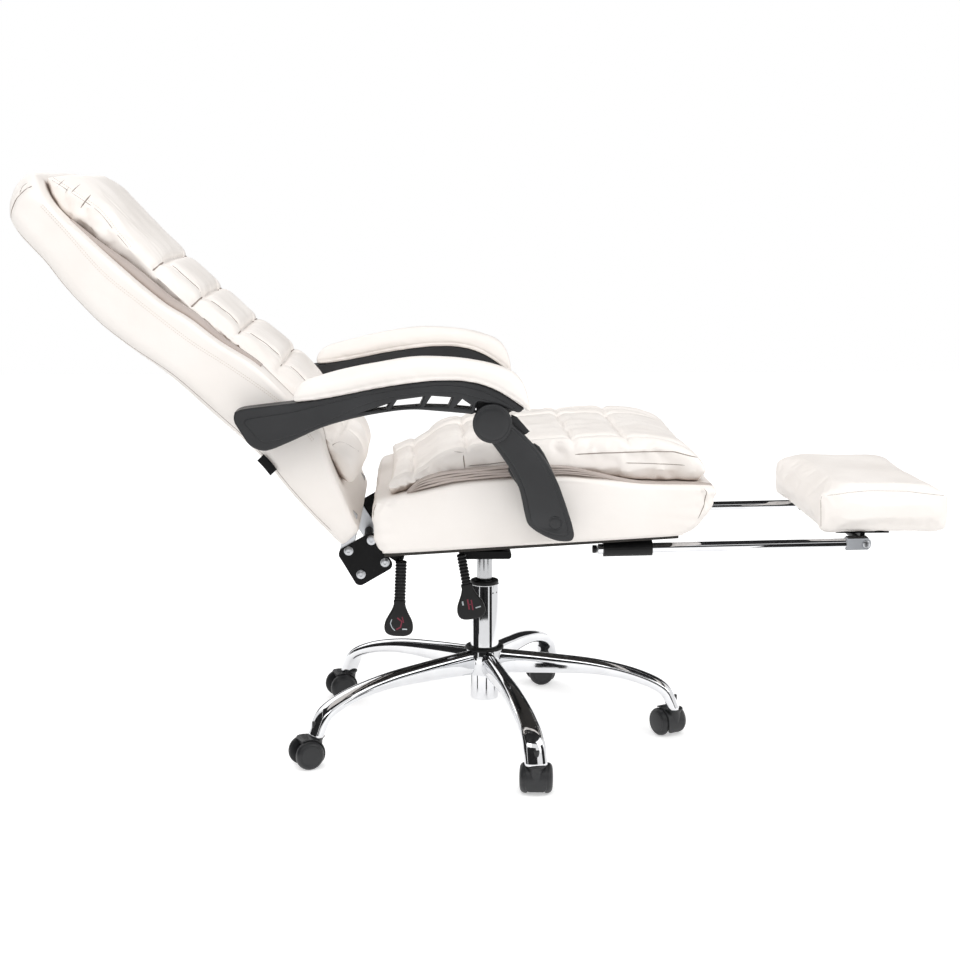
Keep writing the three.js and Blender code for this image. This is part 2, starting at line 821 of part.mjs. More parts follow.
// The cushion's sewn channels and the stations that it shares with the shell behind it
const backChannelCount = 5;
const backChannels = [...Array(backChannelCount).keys()].map((i) => backFirstChannel - backChannelPitch * i);
const pillowHeight = pillowTop - pillowFoot;
const backStations = stationsFor(
  backChannels.map((z) => (2 * (z - pillowFoot)) / pillowHeight - 1).reverse(),
  (2 * channelWidth) / pillowHeight,
  [0.56, 0.76],
);
const pillowAt = (v) => pillowFoot + (pillowHeight * (1 + v)) / 2;

function backShellGeometry() {
  const endShares = [0, 0.03, 0.06, 0.985, 0.996, 1];
  const cornerSteps = 2;
  const levels = [...endShares.map((share) => backFoot + backHeight * share), ...backStations.map(pillowAt)];
  levels.sort((a, b) => a - b);
  const rings = levels.map((z) => {
    const [rear, front, half] = [backRearAt(z), backFrontAt(z), backWidthAt(z)];
    const corner = Math.min(backCorner, (front - rear) * 0.42);
    const ring = [];
    for (const [cx, cy, from] of [
      [front - corner * 0.3, half - corner * 0.3, 0],
      [rear + corner, half - corner, 1],
      [rear + corner, corner - half, 2],
      [front - corner * 0.3, corner * 0.3 - half, 3],
    ]) {
      const radius = from === 0 || from === 3 ? corner * 0.3 : corner;
      for (let i = 0; i <= cornerSteps; i++) {
        const angle = ((from + i / cornerSteps) * Math.PI) / 2;
        ring.push([cx + radius * Math.cos(angle), cy + radius * Math.sin(angle), z]);
      }
    }
    return ring;
  });
  return loft(rings);
}

const barOffset = backRearAt(backFoot + backHeight * 0.1) + barWidth;
const barY = hingeCentre - gap - barThickness;
const barPocket = (side, play) => {
  const [y0, y1] = between(side * (barY - play), side * (barY + barThickness + play));
  return block(
    barOffset - barWidth / 2 - play,
    barOffset + barWidth / 2 + play,
    y0,
    y1,
    -hingePlateSide,
    barTop + play,
  );
};
add("back_shell", cut(backShellGeometry(), barPocket(-1, gap), barPocket(1, gap)), leather, back);

// The back's bars are threaded on the bracket's two cross tubes and reach up into the shell
const toBack = ([x, z]) => {
  const [dx, dz] = [x - reclineX, z - reclineZ];
  const [c, s] = [Math.cos(rad(backLean)), Math.sin(rad(backLean))];
  return [dx * c + dz * s, dz * c - dx * s];
};
const [upper, lower] = hingeBolts.map(toBack);
for (const [name, side] of sides) {
  const y = side > 0 ? barY : -barY - barThickness;
  const shape = new THREE.Shape(
    [
      [lower[0] - barMargin, lower[1]],
      [lower[0], lower[1] - barMargin],
      [lower[0] + barMargin, lower[1] - barMargin / 2],
      [upper[0] + barMargin, upper[1]],
      [barOffset + barWidth / 2, backFoot - gap],
      [barOffset + barWidth / 2, barTop],
      [barOffset - barWidth / 2, barTop],
      [barOffset - barWidth / 2, backFoot - gap],
      [upper[0] - barMargin, upper[1] + barMargin / 2],
    ].map(([x, z]) => new THREE.Vector2(x, z)),
  );
  const holes = [upper, lower].map(([x, z]) =>
    crossRod(crossTubeRadius + gap, x, z, y - overrun, y + barThickness + overrun, 16),
  );
  add(`back_bar_${name}`, cut(plate(shape, y, y + barThickness), ...holes), steel, back);
}

// Back cushion: head pillow, four sewn channels and the lumbar roll, in one cover
const bulgeShares = along([
  [0, 0.5], [0.05, 0.98], [0.15, 0.62], [0.24, 0.5], [0.32, 0.52], [0.43, 0.66],
  [0.55, 0.84], [0.66, 0.93], [0.78, 1.1], [0.86, 1.18], [0.93, 1.04], [1, 0.8],
]);
function backCushionPoint(u, v, side) {
  const corner = 1 - 0.06 * (u * v) ** 8;
  const share = (1 + v) / 2;
  const z = pillowAt(v);
  const half = backSeamWidth - (backHalfWidth - taper(z));
  const y = half * u * corner;
  const rest = backFrontAt(z) + seatGap * 2;
  if (side <= 0) return [rest, y, z];
  const round = Math.sqrt((1 - u ** 8) * (1 - v ** 12));
  let height = pillowCrown * bulgeShares(share) * round * (1 - 0.3 * u * u);
  const nearest = Math.min(...backChannels.map((channel) => Math.abs(z - channel)));
  const inside = Math.abs(y) < backSeam + channelWidth ? 1 : 0.35;
  const across = backChannelDepth * dip(nearest, channelWidth) * inside;
  const below = z < backFirstChannel ? 1 : 0;
  const lengthwise = channelDepth * dip(Math.abs(y) - backSeam, channelWidth) * below;
  height -= Math.min(Math.max(across, lengthwise) * round, height * 0.75);
  return [rest + height, y, z];
}
const backAcross = acrossStations(backSeam / backSeamWidth, channelWidth / backSeamWidth);
add("back_cushion", pad(backAcross, backStations, backCushionPoint), leather, back);

// Arms: each is hinged on the back's side, and a strut hinged on the seat carries its front.
// The arm's upper edge, in shares of its length and height from its rear lower corner
const armRear = armHingeX - armTail;
const armFoot = armHingeZ - armDrop;
const armPoint = ([share, rise]) => [armRear + armLength * share, armFoot + armHeight * rise];
const [discX, discZ] = armPoint(discShares);
const armTopShares = along([
  [0, 0.53], [0.2, 0.67], [0.37, 0.78], [0.5, 0.87], [0.62, 0.955],
  [0.7, 0.975], [0.79, 0.955], [0.86, 0.91], [0.92, 0.8], [1, 0.58],
]);
const armTopAt = (share) => armPoint([share, armTopShares(share)]);
const padStart = 0.2;
const padStations = [0.2, 0.212, 0.25, 0.32, 0.4, 0.48, 0.56, 0.64, 0.72, 0.8, 0.87, 0.93, 0.975, 1];
const armLowerShares = [
  [0.985, 0.52], [0.94, 0.57], [0.895, 0.615], [0.855, 0.66], [0.83, 0.63], [0.845, 0.52],
  [0.81, 0.5], [0.7, 0.565], [0.6, 0.555], [0.52, 0.52], [0.42, 0.44], [0.3, 0.3],
  [0.2, 0.12], [0.13, 0.01], [0.09, 0], [0.05, 0.1], [0.01, 0.3], [-0.005, 0.42],
];

// Ladder windows between the arm's top rail and its lower rib
const windowShares = [
  [[0.445, 0.56], [0.54, 0.665], [0.525, 0.585]],
  [[0.57, 0.7], [0.66, 0.745], [0.645, 0.62], [0.545, 0.6]],
  [[0.685, 0.75], [0.765, 0.735], [0.745, 0.605], [0.665, 0.62]],
  [[0.79, 0.72], [0.825, 0.665], [0.82, 0.59], [0.768, 0.6]],
];

function armGeometry(side) {
  const outline = [];
  outline.push(...[0, padStart / 2, ...padStations].map(armTopAt));
  outline.push(...armLowerShares.map(armPoint));
  const beam = new THREE.Shape(outline.reverse().map(([x, z]) => new THREE.Vector2(x, z)));
  for (const opening of windowShares)
    beam.holes.push(new THREE.Path(opening.map(armPoint).map(([x, z]) => new THREE.Vector2(x, z))));
  const outer = armCentre + armWidth / 2;
  const inner = armCentre - armWidth / 2;
  const split = outer - strutThickness - pivotGap;
  const knuckle = new THREE.Shape();
  knuckle.absarc(discX, discZ, knuckleRadius + gap, 0, 2 * Math.PI, false);
  const neck = new THREE.Shape();
  const neckTop = discZ + knuckleRadius * 1.6;
  neck.moveTo(discX - knuckleRadius, discZ);
  neck.lineTo(discX + knuckleRadius, discZ);
  neck.lineTo(discX + knuckleRadius * 0.7, neckTop);
  neck.lineTo(discX - knuckleRadius, neckTop);
  const swing = crossRod(knuckleRadius + knucklePlay, discX, discZ, split, outer + overrun, 28);
  const whole = joined(
    cut(plate(beam, inner, outer, 6), swing),
    plate(knuckle, inner, split, 10),
    plate(neck, inner, split, 4),
    crossRod(armBossRadius, armHingeX, armHingeZ, backHalfWidth + seatGap, inner + overrun, 20),
  );
  const bore = crossRod(discPinRadius + knucklePlay, discX, discZ, inner - overrun, split + overrun, 16);
  const arm = cut(whole, bore);
  return side > 0 ? arm : arm.scale(1, -1, 1);
}

function armPadGeometry(side) {
  const count = 10;
  const end = 1.015;
  const rings = [];
  for (const share of [...padStations, end]) {
    const t = (share - padStart) / (end - padStart);
    const x = armRear + armLength * share;
    const bottom = armTopAt(Math.min(share, 1))[1] + seatGap;
    const ends = Math.sqrt(Math.max(1 - Math.abs(2 * t - 1) ** 9, 0.09));
    const swell = 0.62 + 0.38 * Math.sin(Math.PI * Math.min(t * 0.72 + 0.05, 1));
    const thickness = armPadThickness * swell * ends;
    const half = (armPadWidth / 2) * (0.86 + 0.14 * ends);
    const ring = [];
    for (let i = 0; i < count; i++) {
      const angle = (2 * Math.PI * (i + 0.5)) / count;
      const [c, n] = [Math.cos(angle), Math.sin(angle)];
      const round = (value) => Math.sign(value) * Math.abs(value) ** 0.55;
      ring.push([x, armCentre + half * round(c), bottom + (thickness / 2) * (1 + round(n) / round(1))]);
    }
    rings.push(ring);
  }
  const cushion = loft(rings);
  return side > 0 ? cushion : cushion.scale(1, -1, 1);
}

// Strut: two curved edges from the disc down to its foot beside the seat
const strutRun = [strutFootX - discX, strutFootZ - discZ];
const strutFrontShares = [
  [0.2, -0.06], [0.44, 0.02], [0.72, 0.2], [0.98, 0.47], [1.16, 0.78], [1.28, 1.05], [1.27, 1.14],
];
const strutRearShares = [
  [1.18, 1.19], [1, 1.19], [0.76, 1.1], [0.58, 1], [0.48, 0.85], [0.4, 0.64], [0.26, 0.46], [0.1, 0.32],
  [-0.08, 0.2],
];
const strutPoint = ([ahead, down]) =>
  new THREE.Vector2(discX + strutRun[0] * ahead, discZ + strutRun[1] * down);
function strutGeometry(side) {
  const outline = new THREE.Shape([...strutFrontShares, ...strutRearShares].map(strutPoint));
  const head = new THREE.Shape();
  head.absarc(discX, discZ, knuckleRadius, 0, 2 * Math.PI, false);
  const outer = armCentre + armWidth / 2;
  const middle = outer - strutThickness;
  const inner = middle - strutInnerThickness;
  const lowerRear = strutRearShares.slice(0, 7);
  const lowerFront = strutFrontShares.slice(2);
  const lower = new THREE.Shape([...lowerFront, ...lowerRear].map(strutPoint));
  const tongue = new THREE.Shape(
    [[0.33, -0.07], [0.6, 0.1], [0.56, 0.13], [0.5, 0.2], [0.3, 0.06]].map(strutPoint),
  );
  const whole = joined(
    plate(outline, middle, outer, 4),
    plate(head, middle, outer, 12),
    plate(lower, inner, middle + gap, 4),
    plate(tongue, middle - hingePlate, middle + gap, 4),
    crossRod(strutBossRadius, strutFootX, strutFootZ, seatHalfWidth + seatGap, inner + overrun, 20),
  );
  const bore = crossRod(discPinRadius + gap, discX, discZ, middle - overrun, outer + overrun, 16);
  const strut = cut(whole, bore);
  return side > 0 ? strut : strut.scale(1, -1, 1);
}

function discGeometry(side) {
  const outer = armCentre + armWidth / 2;
  const inner = armCentre - armWidth / 2;
  const edge = discThickness / 3;
  const rim = new THREE.LatheGeometry(
    [
      new THREE.Vector2(0, outer + gap),
      new THREE.Vector2(discRadius, outer + gap),
      new THREE.Vector2(discRadius, outer + discThickness - edge),
      new THREE.Vector2(discRadius - edge, outer + discThickness),
      new THREE.Vector2(0, outer + discThickness),
    ],
    20,
  );
  const cap = joined(
    rim.translate(discX, 0, discZ),
    crossRod(discPinRadius, discX, discZ, inner + hingePlate, outer + discThickness / 2, 16),
  );
  return side > 0 ? cap : cap.scale(1, -1, 1);
}

// A mirrored geometry keeps its faces pointing out
const flipFaces = (geometry) => {
  const order = geometry.index.array;
  for (let i = 0; i < order.length; i += 3) [order[i + 1], order[i + 2]] = [order[i + 2], order[i + 1]];
  return geometry;
};
for (const [name, side] of sides) {
  const facing = (geometry) => (side > 0 ? geometry : flipFaces(geometry));
  add(`arm_frame_${name}`, facing(armGeometry(side)), blackPlastic);
  add(`arm_pad_${name}`, facing(armPadGeometry(side)), leather);
  add(`arm_strut_${name}`, facing(strutGeometry(side)), blackPlastic);
  add(`arm_disc_${name}`, facing(discGeometry(side)), blackPlastic);
}

// Levers: a wire out of the mechanism, a ribbed sleeve over its end and a teardrop paddle
const wireSides = 8;
const wireSteps = 14;
function wire(points, radius) {
  const section = new THREE.Shape();
  for (let i = 0; i < wireSides; i++) {
    const angle = (2 * Math.PI * i) / wireSides;
    const [a, b] = [radius * Math.cos(angle), radius * Math.sin(angle)];
    if (i) section.lineTo(a, b);
    else section.moveTo(a, b);
  }
  const smooth = new THREE.CatmullRomCurve3(points.map((p) => new THREE.Vector3(...p)));
  return new THREE.ExtrudeGeometry(section, { steps: wireSteps, bevelEnabled: false, extrudePath: smooth });
}

// Ribbed hose: two rings of eight points to a rib outside, one ring to five ribs inside
function ribbedSleeve(radius, length) {
  const ribsPerBore = 5;
  const ribs = Math.round(length / ribPitch);
  const pitch = length / ribs;
  const circle = (r, z) =>
    [...Array(wireSides).keys()].map((i) => {
      const angle = (2 * Math.PI * i) / wireSides;
      return [r * Math.cos(angle), r * Math.sin(angle), z];
    });
  const rings = [];
  for (let i = 0; i < ribs; i++) {
    rings.push(circle(radius - ribDepth, -i * pitch));
    rings.push(circle(radius, -(i + 0.5) * pitch));
  }
  rings.push(circle(radius - ribDepth, -length));
  for (let i = ribs; i >= 0; i -= ribsPerBore) rings.push(circle(sleeveBore, -i * pitch));
  if (ribs % ribsPerBore) rings.push(circle(sleeveBore, 0));
  const points = rings.flat();
  const faces = [];
  rings.forEach((_, r) => {
    const [a, b] = [r * wireSides, ((r + 1) % rings.length) * wireSides];
    for (let i = 0; i < wireSides; i++) {
      const j = (i + 1) % wireSides;
      faces.push([a + i, a + j, b + j], [a + i, b + j, b + i]);
    }
  });
  return shell(points, faces);
}

function paddleGeometry() {
  const half = paddleWidth / 2;
  const shape = new THREE.Shape();
  const belly = -paddleHeight * 0.72;
  shape.moveTo(-paddleNeck / 2, 0);
  shape.lineTo(paddleNeck / 2, 0);
  shape.bezierCurveTo(paddleNeck * 0.6, -paddleHeight * 0.3, half, -paddleHeight * 0.5, half, belly);
  shape.bezierCurveTo(half, -paddleHeight, half * 0.5, -paddleHeight, 0, -paddleHeight);
  shape.bezierCurveTo(-half * 0.5, -paddleHeight, -half, -paddleHeight, -half, belly);
  shape.bezierCurveTo(-half, -paddleHeight * 0.5, -paddleNeck * 0.6, -paddleHeight * 0.3, -paddleNeck / 2, 0);
  const inset = paddleEdge;
  const options = {
    depth: paddleThickness - 2 * inset,
    bevelEnabled: true,
    bevelThickness: inset,
    bevelSize: inset,
    bevelOffset: -inset,
    bevelSegments: 2,
    curveSegments: 5,
  };
  const flat = new THREE.ExtrudeGeometry(shape, options).rotateX(rad(90));
  return moved(flat, 0, paddleThickness / 2 - inset, 0);
}

// Each lever hangs in a group at its sleeve's upper end, leaning a little along the seat
for (const lever of [
  {
    name: "recline",
    x: reclineLeverX,
    y: reclineLeverY,
    radius: reclineSleeveRadius,
    length: reclineSleeveLength,
    lean: -2.6,
    root: -seatPlateY - leverPlay,
  },
  {
    name: "lift",
    x: liftLeverX,
    y: liftLeverY,
    radius: liftSleeveRadius,
    length: liftSleeveLength,
    lean: 10,
    root: -housingBreadth / 2 - leverPlay,
  },
]) {
  const group = new THREE.Group();
  group.position.set(lever.x, lever.y, sleeveTop);
  group.rotation.y = -rad(lever.lean);
  chair.add(group);
  const inSleeve = lever.length - wheelDome;
  const rootX = Math.sin(rad(-lever.lean)) * (leverTop - sleeveTop);
  add(
    `${lever.name}_lever_rod`,
    wire(
      [
        [rootX, lever.root - lever.y, leverTop - sleeveTop],
        [rootX, leverReach, leverTop - sleeveTop],
        [rootX / 2, leverReach / 4, (leverTop - sleeveTop) * 0.75],
        [0, 0, 0],
        [0, 0, -leverReach],
        [0, 0, -inSleeve],
      ],
      leverWireRadius,
    ),
    blackSteel,
    group,
  );
  const sleeve = ribbedSleeve(lever.radius, lever.length).translate(0, 0, -gap);
  add(`${lever.name}_lever_sleeve`, sleeve, softBlack, group);
  const paddle = paddleGeometry().translate(0, 0, -lever.length - gap * 2);
  add(`${lever.name}_lever_paddle`, paddle, softBlack, group);
}

// Footrest: two chromed rails in guides under the seat, and a pad hinged on the rod between them
const footPivotX = seatFront + footReach;
const footRear = footPivotX - footOverhang;
const guideRear = seatFront - guideSetback;
const railRear = guideRear - railTail;
const railSlope = Math.tan(rad(railPitch));
const railLevel = (x) => footPivotZ + railSlope * (x - footPivotX);
function railGeometry(side) {
  const y = side * railHalfSpacing;
  const length = footPivotX - clevisLength / 2 - railRear;
  const tube = new THREE.LatheGeometry(
    [
      new THREE.Vector2(railBore, 0),
      new THREE.Vector2(railRadius, 0),
      new THREE.Vector2(railRadius, length),
      new THREE.Vector2(railBore, length),
      new THREE.Vector2(railBore, 0),
    ],
    16,
  ).rotateZ(-rad(90));
  const fitting = roundedBox(
    length - clevisLength / 4,
    length + clevisLength / 2 + clevisNose,
    -clevisSide / 2,
    clevisSide / 2,
    clevisSide / 3,
  );
  fitting.holes.push(roundHole(length + clevisLength / 2, 0, footRodRadius + gap));
  const whole = cut(
    joined(tube, plate(fitting, -clevisSide / 2, clevisSide / 2, 3)),
    crossRod(footRodRadius + gap, length + clevisLength / 2, 0, -clevisSide, clevisSide, 16),
  );
  return whole.rotateY(-Math.atan(railSlope)).translate(railRear, y, railLevel(railRear));
}

function guideGeometry(side) {
  const y = side * railHalfSpacing;
  const sleeve = new THREE.CylinderGeometry(guideRadius, guideRadius, guideLength, 20).rotateZ(rad(90));
  const bore = new THREE.CylinderGeometry(railRadius + gap, railRadius + gap, guideLength + 2 * overrun, 16);
  bore.rotateZ(rad(90));
  const tilt = -Math.atan(railSlope);
  const centre = guideRear + guideLength / 2;
  const lay = (geometry) => geometry.rotateY(tilt).translate(centre, y, railLevel(centre));
  const flange = new THREE.Shape();
  const [x0, x1] = [guideRear - guideWeb, guideRear - guideWeb + guideFlangeLength];
  flange.moveTo(x0, boardBottomAt(x0) - gap - guideFlange);
  flange.lineTo(x1, boardBottomAt(x1) - gap - guideFlange);
  flange.lineTo(x1, boardBottomAt(x1) - gap);
  flange.lineTo(x0, boardBottomAt(x0) - gap);
  const web = new THREE.Shape();
  const [webRear, webFront] = [guideRear + guideWeb, guideRear + guideLength - guideWeb];
  const webTopAt = (x) => boardBottomAt(x) - gap - guideFlange / 2;
  web.moveTo(webRear, railLevel(webRear));
  web.lineTo(webFront, railLevel(webFront));
  web.lineTo(webFront, webTopAt(webFront));
  web.lineTo(webRear, webTopAt(webRear));
  return cut(
    joined(
      lay(sleeve),
      plate(web, y - guideWeb / 2, y + guideWeb / 2),
      plate(flange, y - guideFlangeWidth / 2, y + guideFlangeWidth / 2),
    ),
    lay(bore),
  );
}
for (const [name, side] of sides) {
  add(`footrest_rail_${name}`, railGeometry(side), chrome);
  add(`rail_guide_${name}`, guideGeometry(side), softBlack);
}
const rodReach = railHalfSpacing + clevisSide / 2;
const barrelReach = railHalfSpacing - clevisSide / 2 - barrelPlay;
add("footrest_rod", crossRod(footRodRadius, footPivotX, footPivotZ, -rodReach, rodReach, 16), steel);

function footHingeGeometry() {
  const top = footLevel - gap;
  const sheet = block(
    footPivotX - lugPlateLength / 2,
    footPivotX + lugPlateLength / 2,
    -barrelReach,
    barrelReach,
    top - guideFlange,
    top,
  );
  const barrel = crossRod(footRodRadius * 2, footPivotX, footPivotZ, -barrelReach, barrelReach, 20);
  const web = block(
    footPivotX - lugThickness,
    footPivotX + lugThickness,
    -barrelReach,
    barrelReach,
    footPivotZ,
    top - guideFlange / 2,
  );
  return cut(
    joined(sheet, barrel, web),
    crossRod(footRodRadius + gap, footPivotX, footPivotZ, -barrelReach - overrun, barrelReach + overrun, 16),
  );
}
add("footrest_hinge_plate", footHingeGeometry(), blackSteel);

// Box-like pad with rounded ends and a slightly crowned top
function footPadGeometry() {
  const count = 20;
  const stations = [
    [-1, 0.7], [-0.97, 0.9], [-0.9, 1], [-0.5, 1], [0, 1], [0.5, 1], [0.9, 1], [0.97, 0.9], [1, 0.7],
  ];
  const middle = footRear + footLength / 2;
  const halfHeight = (footThickness - footCrown) / 2;
  const rings = stations.map(([v, size]) => {
    const ring = [];
    const inset = (1 - size) * footEdge * 3;
    for (let i = 0; i < count; i++) {
      const angle = (2 * Math.PI * (i + 0.5)) / count;
      const round = (value) => Math.sign(value) * Math.abs(value) ** 0.28;
      const limit = round(Math.cos(Math.PI / count));
      const [c, n] = [round(Math.cos(angle)) / limit, round(Math.sin(angle)) / limit];
      const crown = n > 0 ? footCrown * (1 - Math.min(c * c, 1)) * (1 - v * v) : 0;
      const x = middle + (footLength / 2 - inset) * c;
      ring.push([x, footHalfWidth * v, footLevel + halfHeight + (halfHeight - inset) * n + crown]);
    }
    return ring;
  });
  return loft(rings);
}
add("footrest_pad", footPadGeometry(), leather);

export default chair;
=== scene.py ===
import json
import math

import bmesh
import bpy
import numpy as np
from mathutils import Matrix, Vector, noise
from mathutils.bvhtree import BVHTree


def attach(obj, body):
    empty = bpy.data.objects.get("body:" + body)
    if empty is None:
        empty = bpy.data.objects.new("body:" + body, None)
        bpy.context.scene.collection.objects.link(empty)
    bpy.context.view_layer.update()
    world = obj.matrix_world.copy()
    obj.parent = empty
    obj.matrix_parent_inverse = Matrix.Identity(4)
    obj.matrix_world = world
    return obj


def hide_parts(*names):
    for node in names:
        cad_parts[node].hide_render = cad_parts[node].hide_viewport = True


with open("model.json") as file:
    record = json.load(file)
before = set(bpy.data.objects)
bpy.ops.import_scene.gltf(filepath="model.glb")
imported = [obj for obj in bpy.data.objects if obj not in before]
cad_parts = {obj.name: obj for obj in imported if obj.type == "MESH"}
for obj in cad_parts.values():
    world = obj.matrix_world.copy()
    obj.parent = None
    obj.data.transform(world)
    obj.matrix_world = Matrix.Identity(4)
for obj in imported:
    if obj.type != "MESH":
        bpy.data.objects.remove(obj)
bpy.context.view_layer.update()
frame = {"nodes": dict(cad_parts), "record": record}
nodes = frame["nodes"]
MM = 0.001
SIDES = (("left", 1), ("right", -1))


def mm(x, y, z):
    return (x * MM, y * MM, z * MM)


def unit(value):
    return np.clip(value, 0, 1)


def bell(distance, width):
    """One where the distance is nil, falling smoothly to nothing over some widths."""
    return np.exp(-((distance / width) ** 2))


def around(n):
    """Angles of n equal steps round a circle."""
    return np.linspace(0, 2 * math.pi, n, endpoint=False)


def circle(centre, radius, n):
    return [(centre[0] + radius * math.cos(a), centre[1] + radius * math.sin(a)) for a in around(n)]


def spread(n, share=0.97):
    """Steps from -1 to 1 that crowd towards both ends."""
    return [math.sin(math.pi * (i / n - 0.5) * share) / math.sin(math.pi * (share / 2)) for i in range(n + 1)]


# ---------------------------------------------------------------- curves and meshes


def catmull(points, per=8, closed=False):
    """Dense points along a smooth curve through the given points."""
    pts = [np.array(p, float) for p in points]
    n = len(pts)
    out = []
    for i in range(n if closed else n - 1):
        p1, p2 = pts[i], pts[(i + 1) % n]
        p0 = pts[i - 1] if i > 0 or closed else 2 * p1 - p2
        p3 = pts[(i + 2) % n] if i + 2 < n or closed else 2 * p2 - p1
        for k in range(per):
            t = k / per
            out.append(
                0.5 * (2 * p1 + (p2 - p0) * t + (2 * p0 - 5 * p1 + 4 * p2 - p3) * t * t + (3 * p1 - p0 - 3 * p2 + p3) * t**3)
            )
    if not closed:
        out.append(pts[-1])
    return out


def table(rows):
    """Smooth value along rows of (place, value)."""
    xs, ys = np.array(rows, float).T
    d = np.diff(ys) / np.diff(xs)
    m = np.concatenate([[d[0]], (d[1:] + d[:-1]) / 2, [d[-1]]])
    m[1:-1][np.sign(d[1:]) != np.sign(d[:-1])] = 0

    def value(x):
        x = np.clip(x, xs[0], xs[-1])
        i = np.clip(np.searchsorted(xs, x) - 1, 0, len(xs) - 2)
        h = xs[i + 1] - xs[i]
        t = (x - xs[i]) / h
        return (
            ys[i] * (2 * t**3 - 3 * t**2 + 1)
            + ys[i + 1] * (3 * t**2 - 2 * t**3)
            + h * m[i] * (t**3 - 2 * t**2 + t)
            + h * m[i + 1] * (t**3 - t**2)
        )

    return value


def mesh_object(name, points, faces, material, smooth=True):
    mesh = bpy.data.meshes.new(name)
    mesh.from_pydata([tuple(p) for p in points], [], [tuple(f) for f in faces])
    mesh.update()
    obj = bpy.data.objects.new(name, mesh)
    bpy.context.scene.collection.objects.link(obj)
    obj.data.materials.append(material)
    if smooth:
        mesh.polygons.foreach_set("use_smooth", [True] * len(mesh.polygons))
    return obj


def loft_mesh(rings, caps=True):
    """Points and quads over equal rings, with a fan at each end."""
    n = len(rings[0])
    points = [p for ring in rings for p in ring]
    faces = []
    for r in range(len(rings) - 1):
        for i in range(n):
            j = (i + 1) % n
            faces.append((r * n + i, r * n + j, (r + 1) * n + j, (r + 1) * n + i))
    if caps:
        for start, flip in ((0, True), ((len(rings) - 1) * n, False)):
            ring = points[start : start + n]
            points.append(tuple(np.mean(np.array(ring, float), axis=0)))
            for i in range(n):
                f = (start + i, start + (i + 1) % n, len(points) - 1)
                faces.append(tuple(reversed(f)) if flip else f)
    return points, faces


def recalc(obj):
    bm = bmesh.new()
    bm.from_mesh(obj.data)
    bmesh.ops.recalc_face_normals(bm, faces=bm.faces)
    bm.to_mesh(obj.data)
    bm.free()
    obj.data.update()
    return obj


def loft(name, rings, material, caps=True):
    return recalc(mesh_object(name, *loft_mesh(rings, caps), material))


def turned(name, profile, material, centre=(0, 0, 0), axis="Z", segments=64, closed=False, flip=1):
    """Turned piece: (radius, height) points in millimetres round an axis through centre."""
    rings = []
    for r, h in [*profile, profile[0]] if closed else profile:
        ring = []
        for i in range(segments):
            a = 2 * math.pi * i / segments
            c, s = r * math.cos(a), r * math.sin(a)
            ring.append({"Z": (c, s, h * flip), "Y": (c, h * flip, s), "X": (h * flip, c, s)}[axis])
        rings.append([tuple(np.array(p) * MM + np.array(centre)) for p in ring])
    return loft(name, rings, material, caps=not closed)


def sideways(name, profile, material, place, y, sign, segments=36):
    """Turned piece whose axis runs across the chair, at an (x, z) place, outwards from y."""
    centre = mm(place[0], sign * y, place[1])
    return turned(name, profile, material, centre=centre, axis="Y", flip=sign, segments=segments)


def plate(name, outline, y0, y1, material, bevel=1.5, holes=(), segments=3):
    """Flat moulded piece: an (x, z) outline with rounded edges, from y0 to y1."""
    curve = bpy.data.curves.new(name, "CURVE")
    curve.dimensions = "2D"
    curve.fill_mode = "BOTH"
    bevel = bevel * MM
    curve.extrude = (y1 - y0) * MM / 2 - bevel
    curve.bevel_depth = bevel
    curve.bevel_resolution = segments
    curve.offset = -bevel
    for loop in (outline, *holes):
        spline = curve.splines.new("POLY")
        spline.points.add(len(loop) - 1)
        for q, (x, z) in zip(spline.points, loop):
            q.co = (x * MM, z * MM, 0, 1)
        spline.use_cyclic_u = True
    source = bpy.data.objects.new(name + "_curve", curve)
    bpy.context.scene.collection.objects.link(source)
    bpy.context.view_layer.update()
    mesh = bpy.data.meshes.new_from_object(source.evaluated_get(bpy.context.evaluated_depsgraph_get()))
    bpy.data.objects.remove(source)
    for v in mesh.vertices:
        x, z, d = v.co
        v.co = (x, (y0 + y1) / 2 * MM - d, z)
    obj = bpy.data.objects.new(name, mesh)
    bpy.context.scene.collection.objects.link(obj)
    mesh.materials.clear()
    mesh.materials.append(material)
    return rounded(recalc(obj), 0)


def rounded(obj, width=0.6, segments=2, angle=35):
    """Small rubbed-down edges on a hard piece, with flat faces kept flat in the light."""
    if width:
        mod = obj.modifiers.new("edges", "BEVEL")
        mod.width = width * MM
        mod.segments = segments
        mod.limit_method = "ANGLE"
        mod.angle_limit = math.radians(angle)
        mod.harden_normals = False
    mesh = obj.data
    mesh.polygons.foreach_set("use_smooth", [True] * len(mesh.polygons))
    mod = obj.modifiers.new("facets", "EDGE_SPLIT")
    mod.split_angle = math.radians(angle)
    return obj


def join(name, parts):
    """One object from several that share a material."""
    bpy.ops.object.select_all(action="DESELECT")
    for part in parts:
        part.select_set(True)
    bpy.context.view_layer.objects.active = parts[0]
    bpy.ops.object.join()
    parts[0].name = name
    return parts[0]


def apply_modifiers(obj):
    bpy.context.view_layer.update()
    mesh = bpy.data.meshes.new_from_object(obj.evaluated_get(bpy.context.evaluated_depsgraph_get()))
    obj.modifiers.clear()
    obj.data = mesh
    return obj


def move_points(obj, function):
    """Moves every vertex by a function of the whole array of points, in millimetres."""
    n = len(obj.data.vertices)
    co = np.zeros(n * 3)
    obj.data.vertices.foreach_get("co", co)
    co = co.reshape(-1, 3) / MM
    co = function(co)
    obj.data.vertices.foreach_set("co", (co * MM).ravel())
    obj.data.update()
    return obj


# ---------------------------------------------------------------- materials


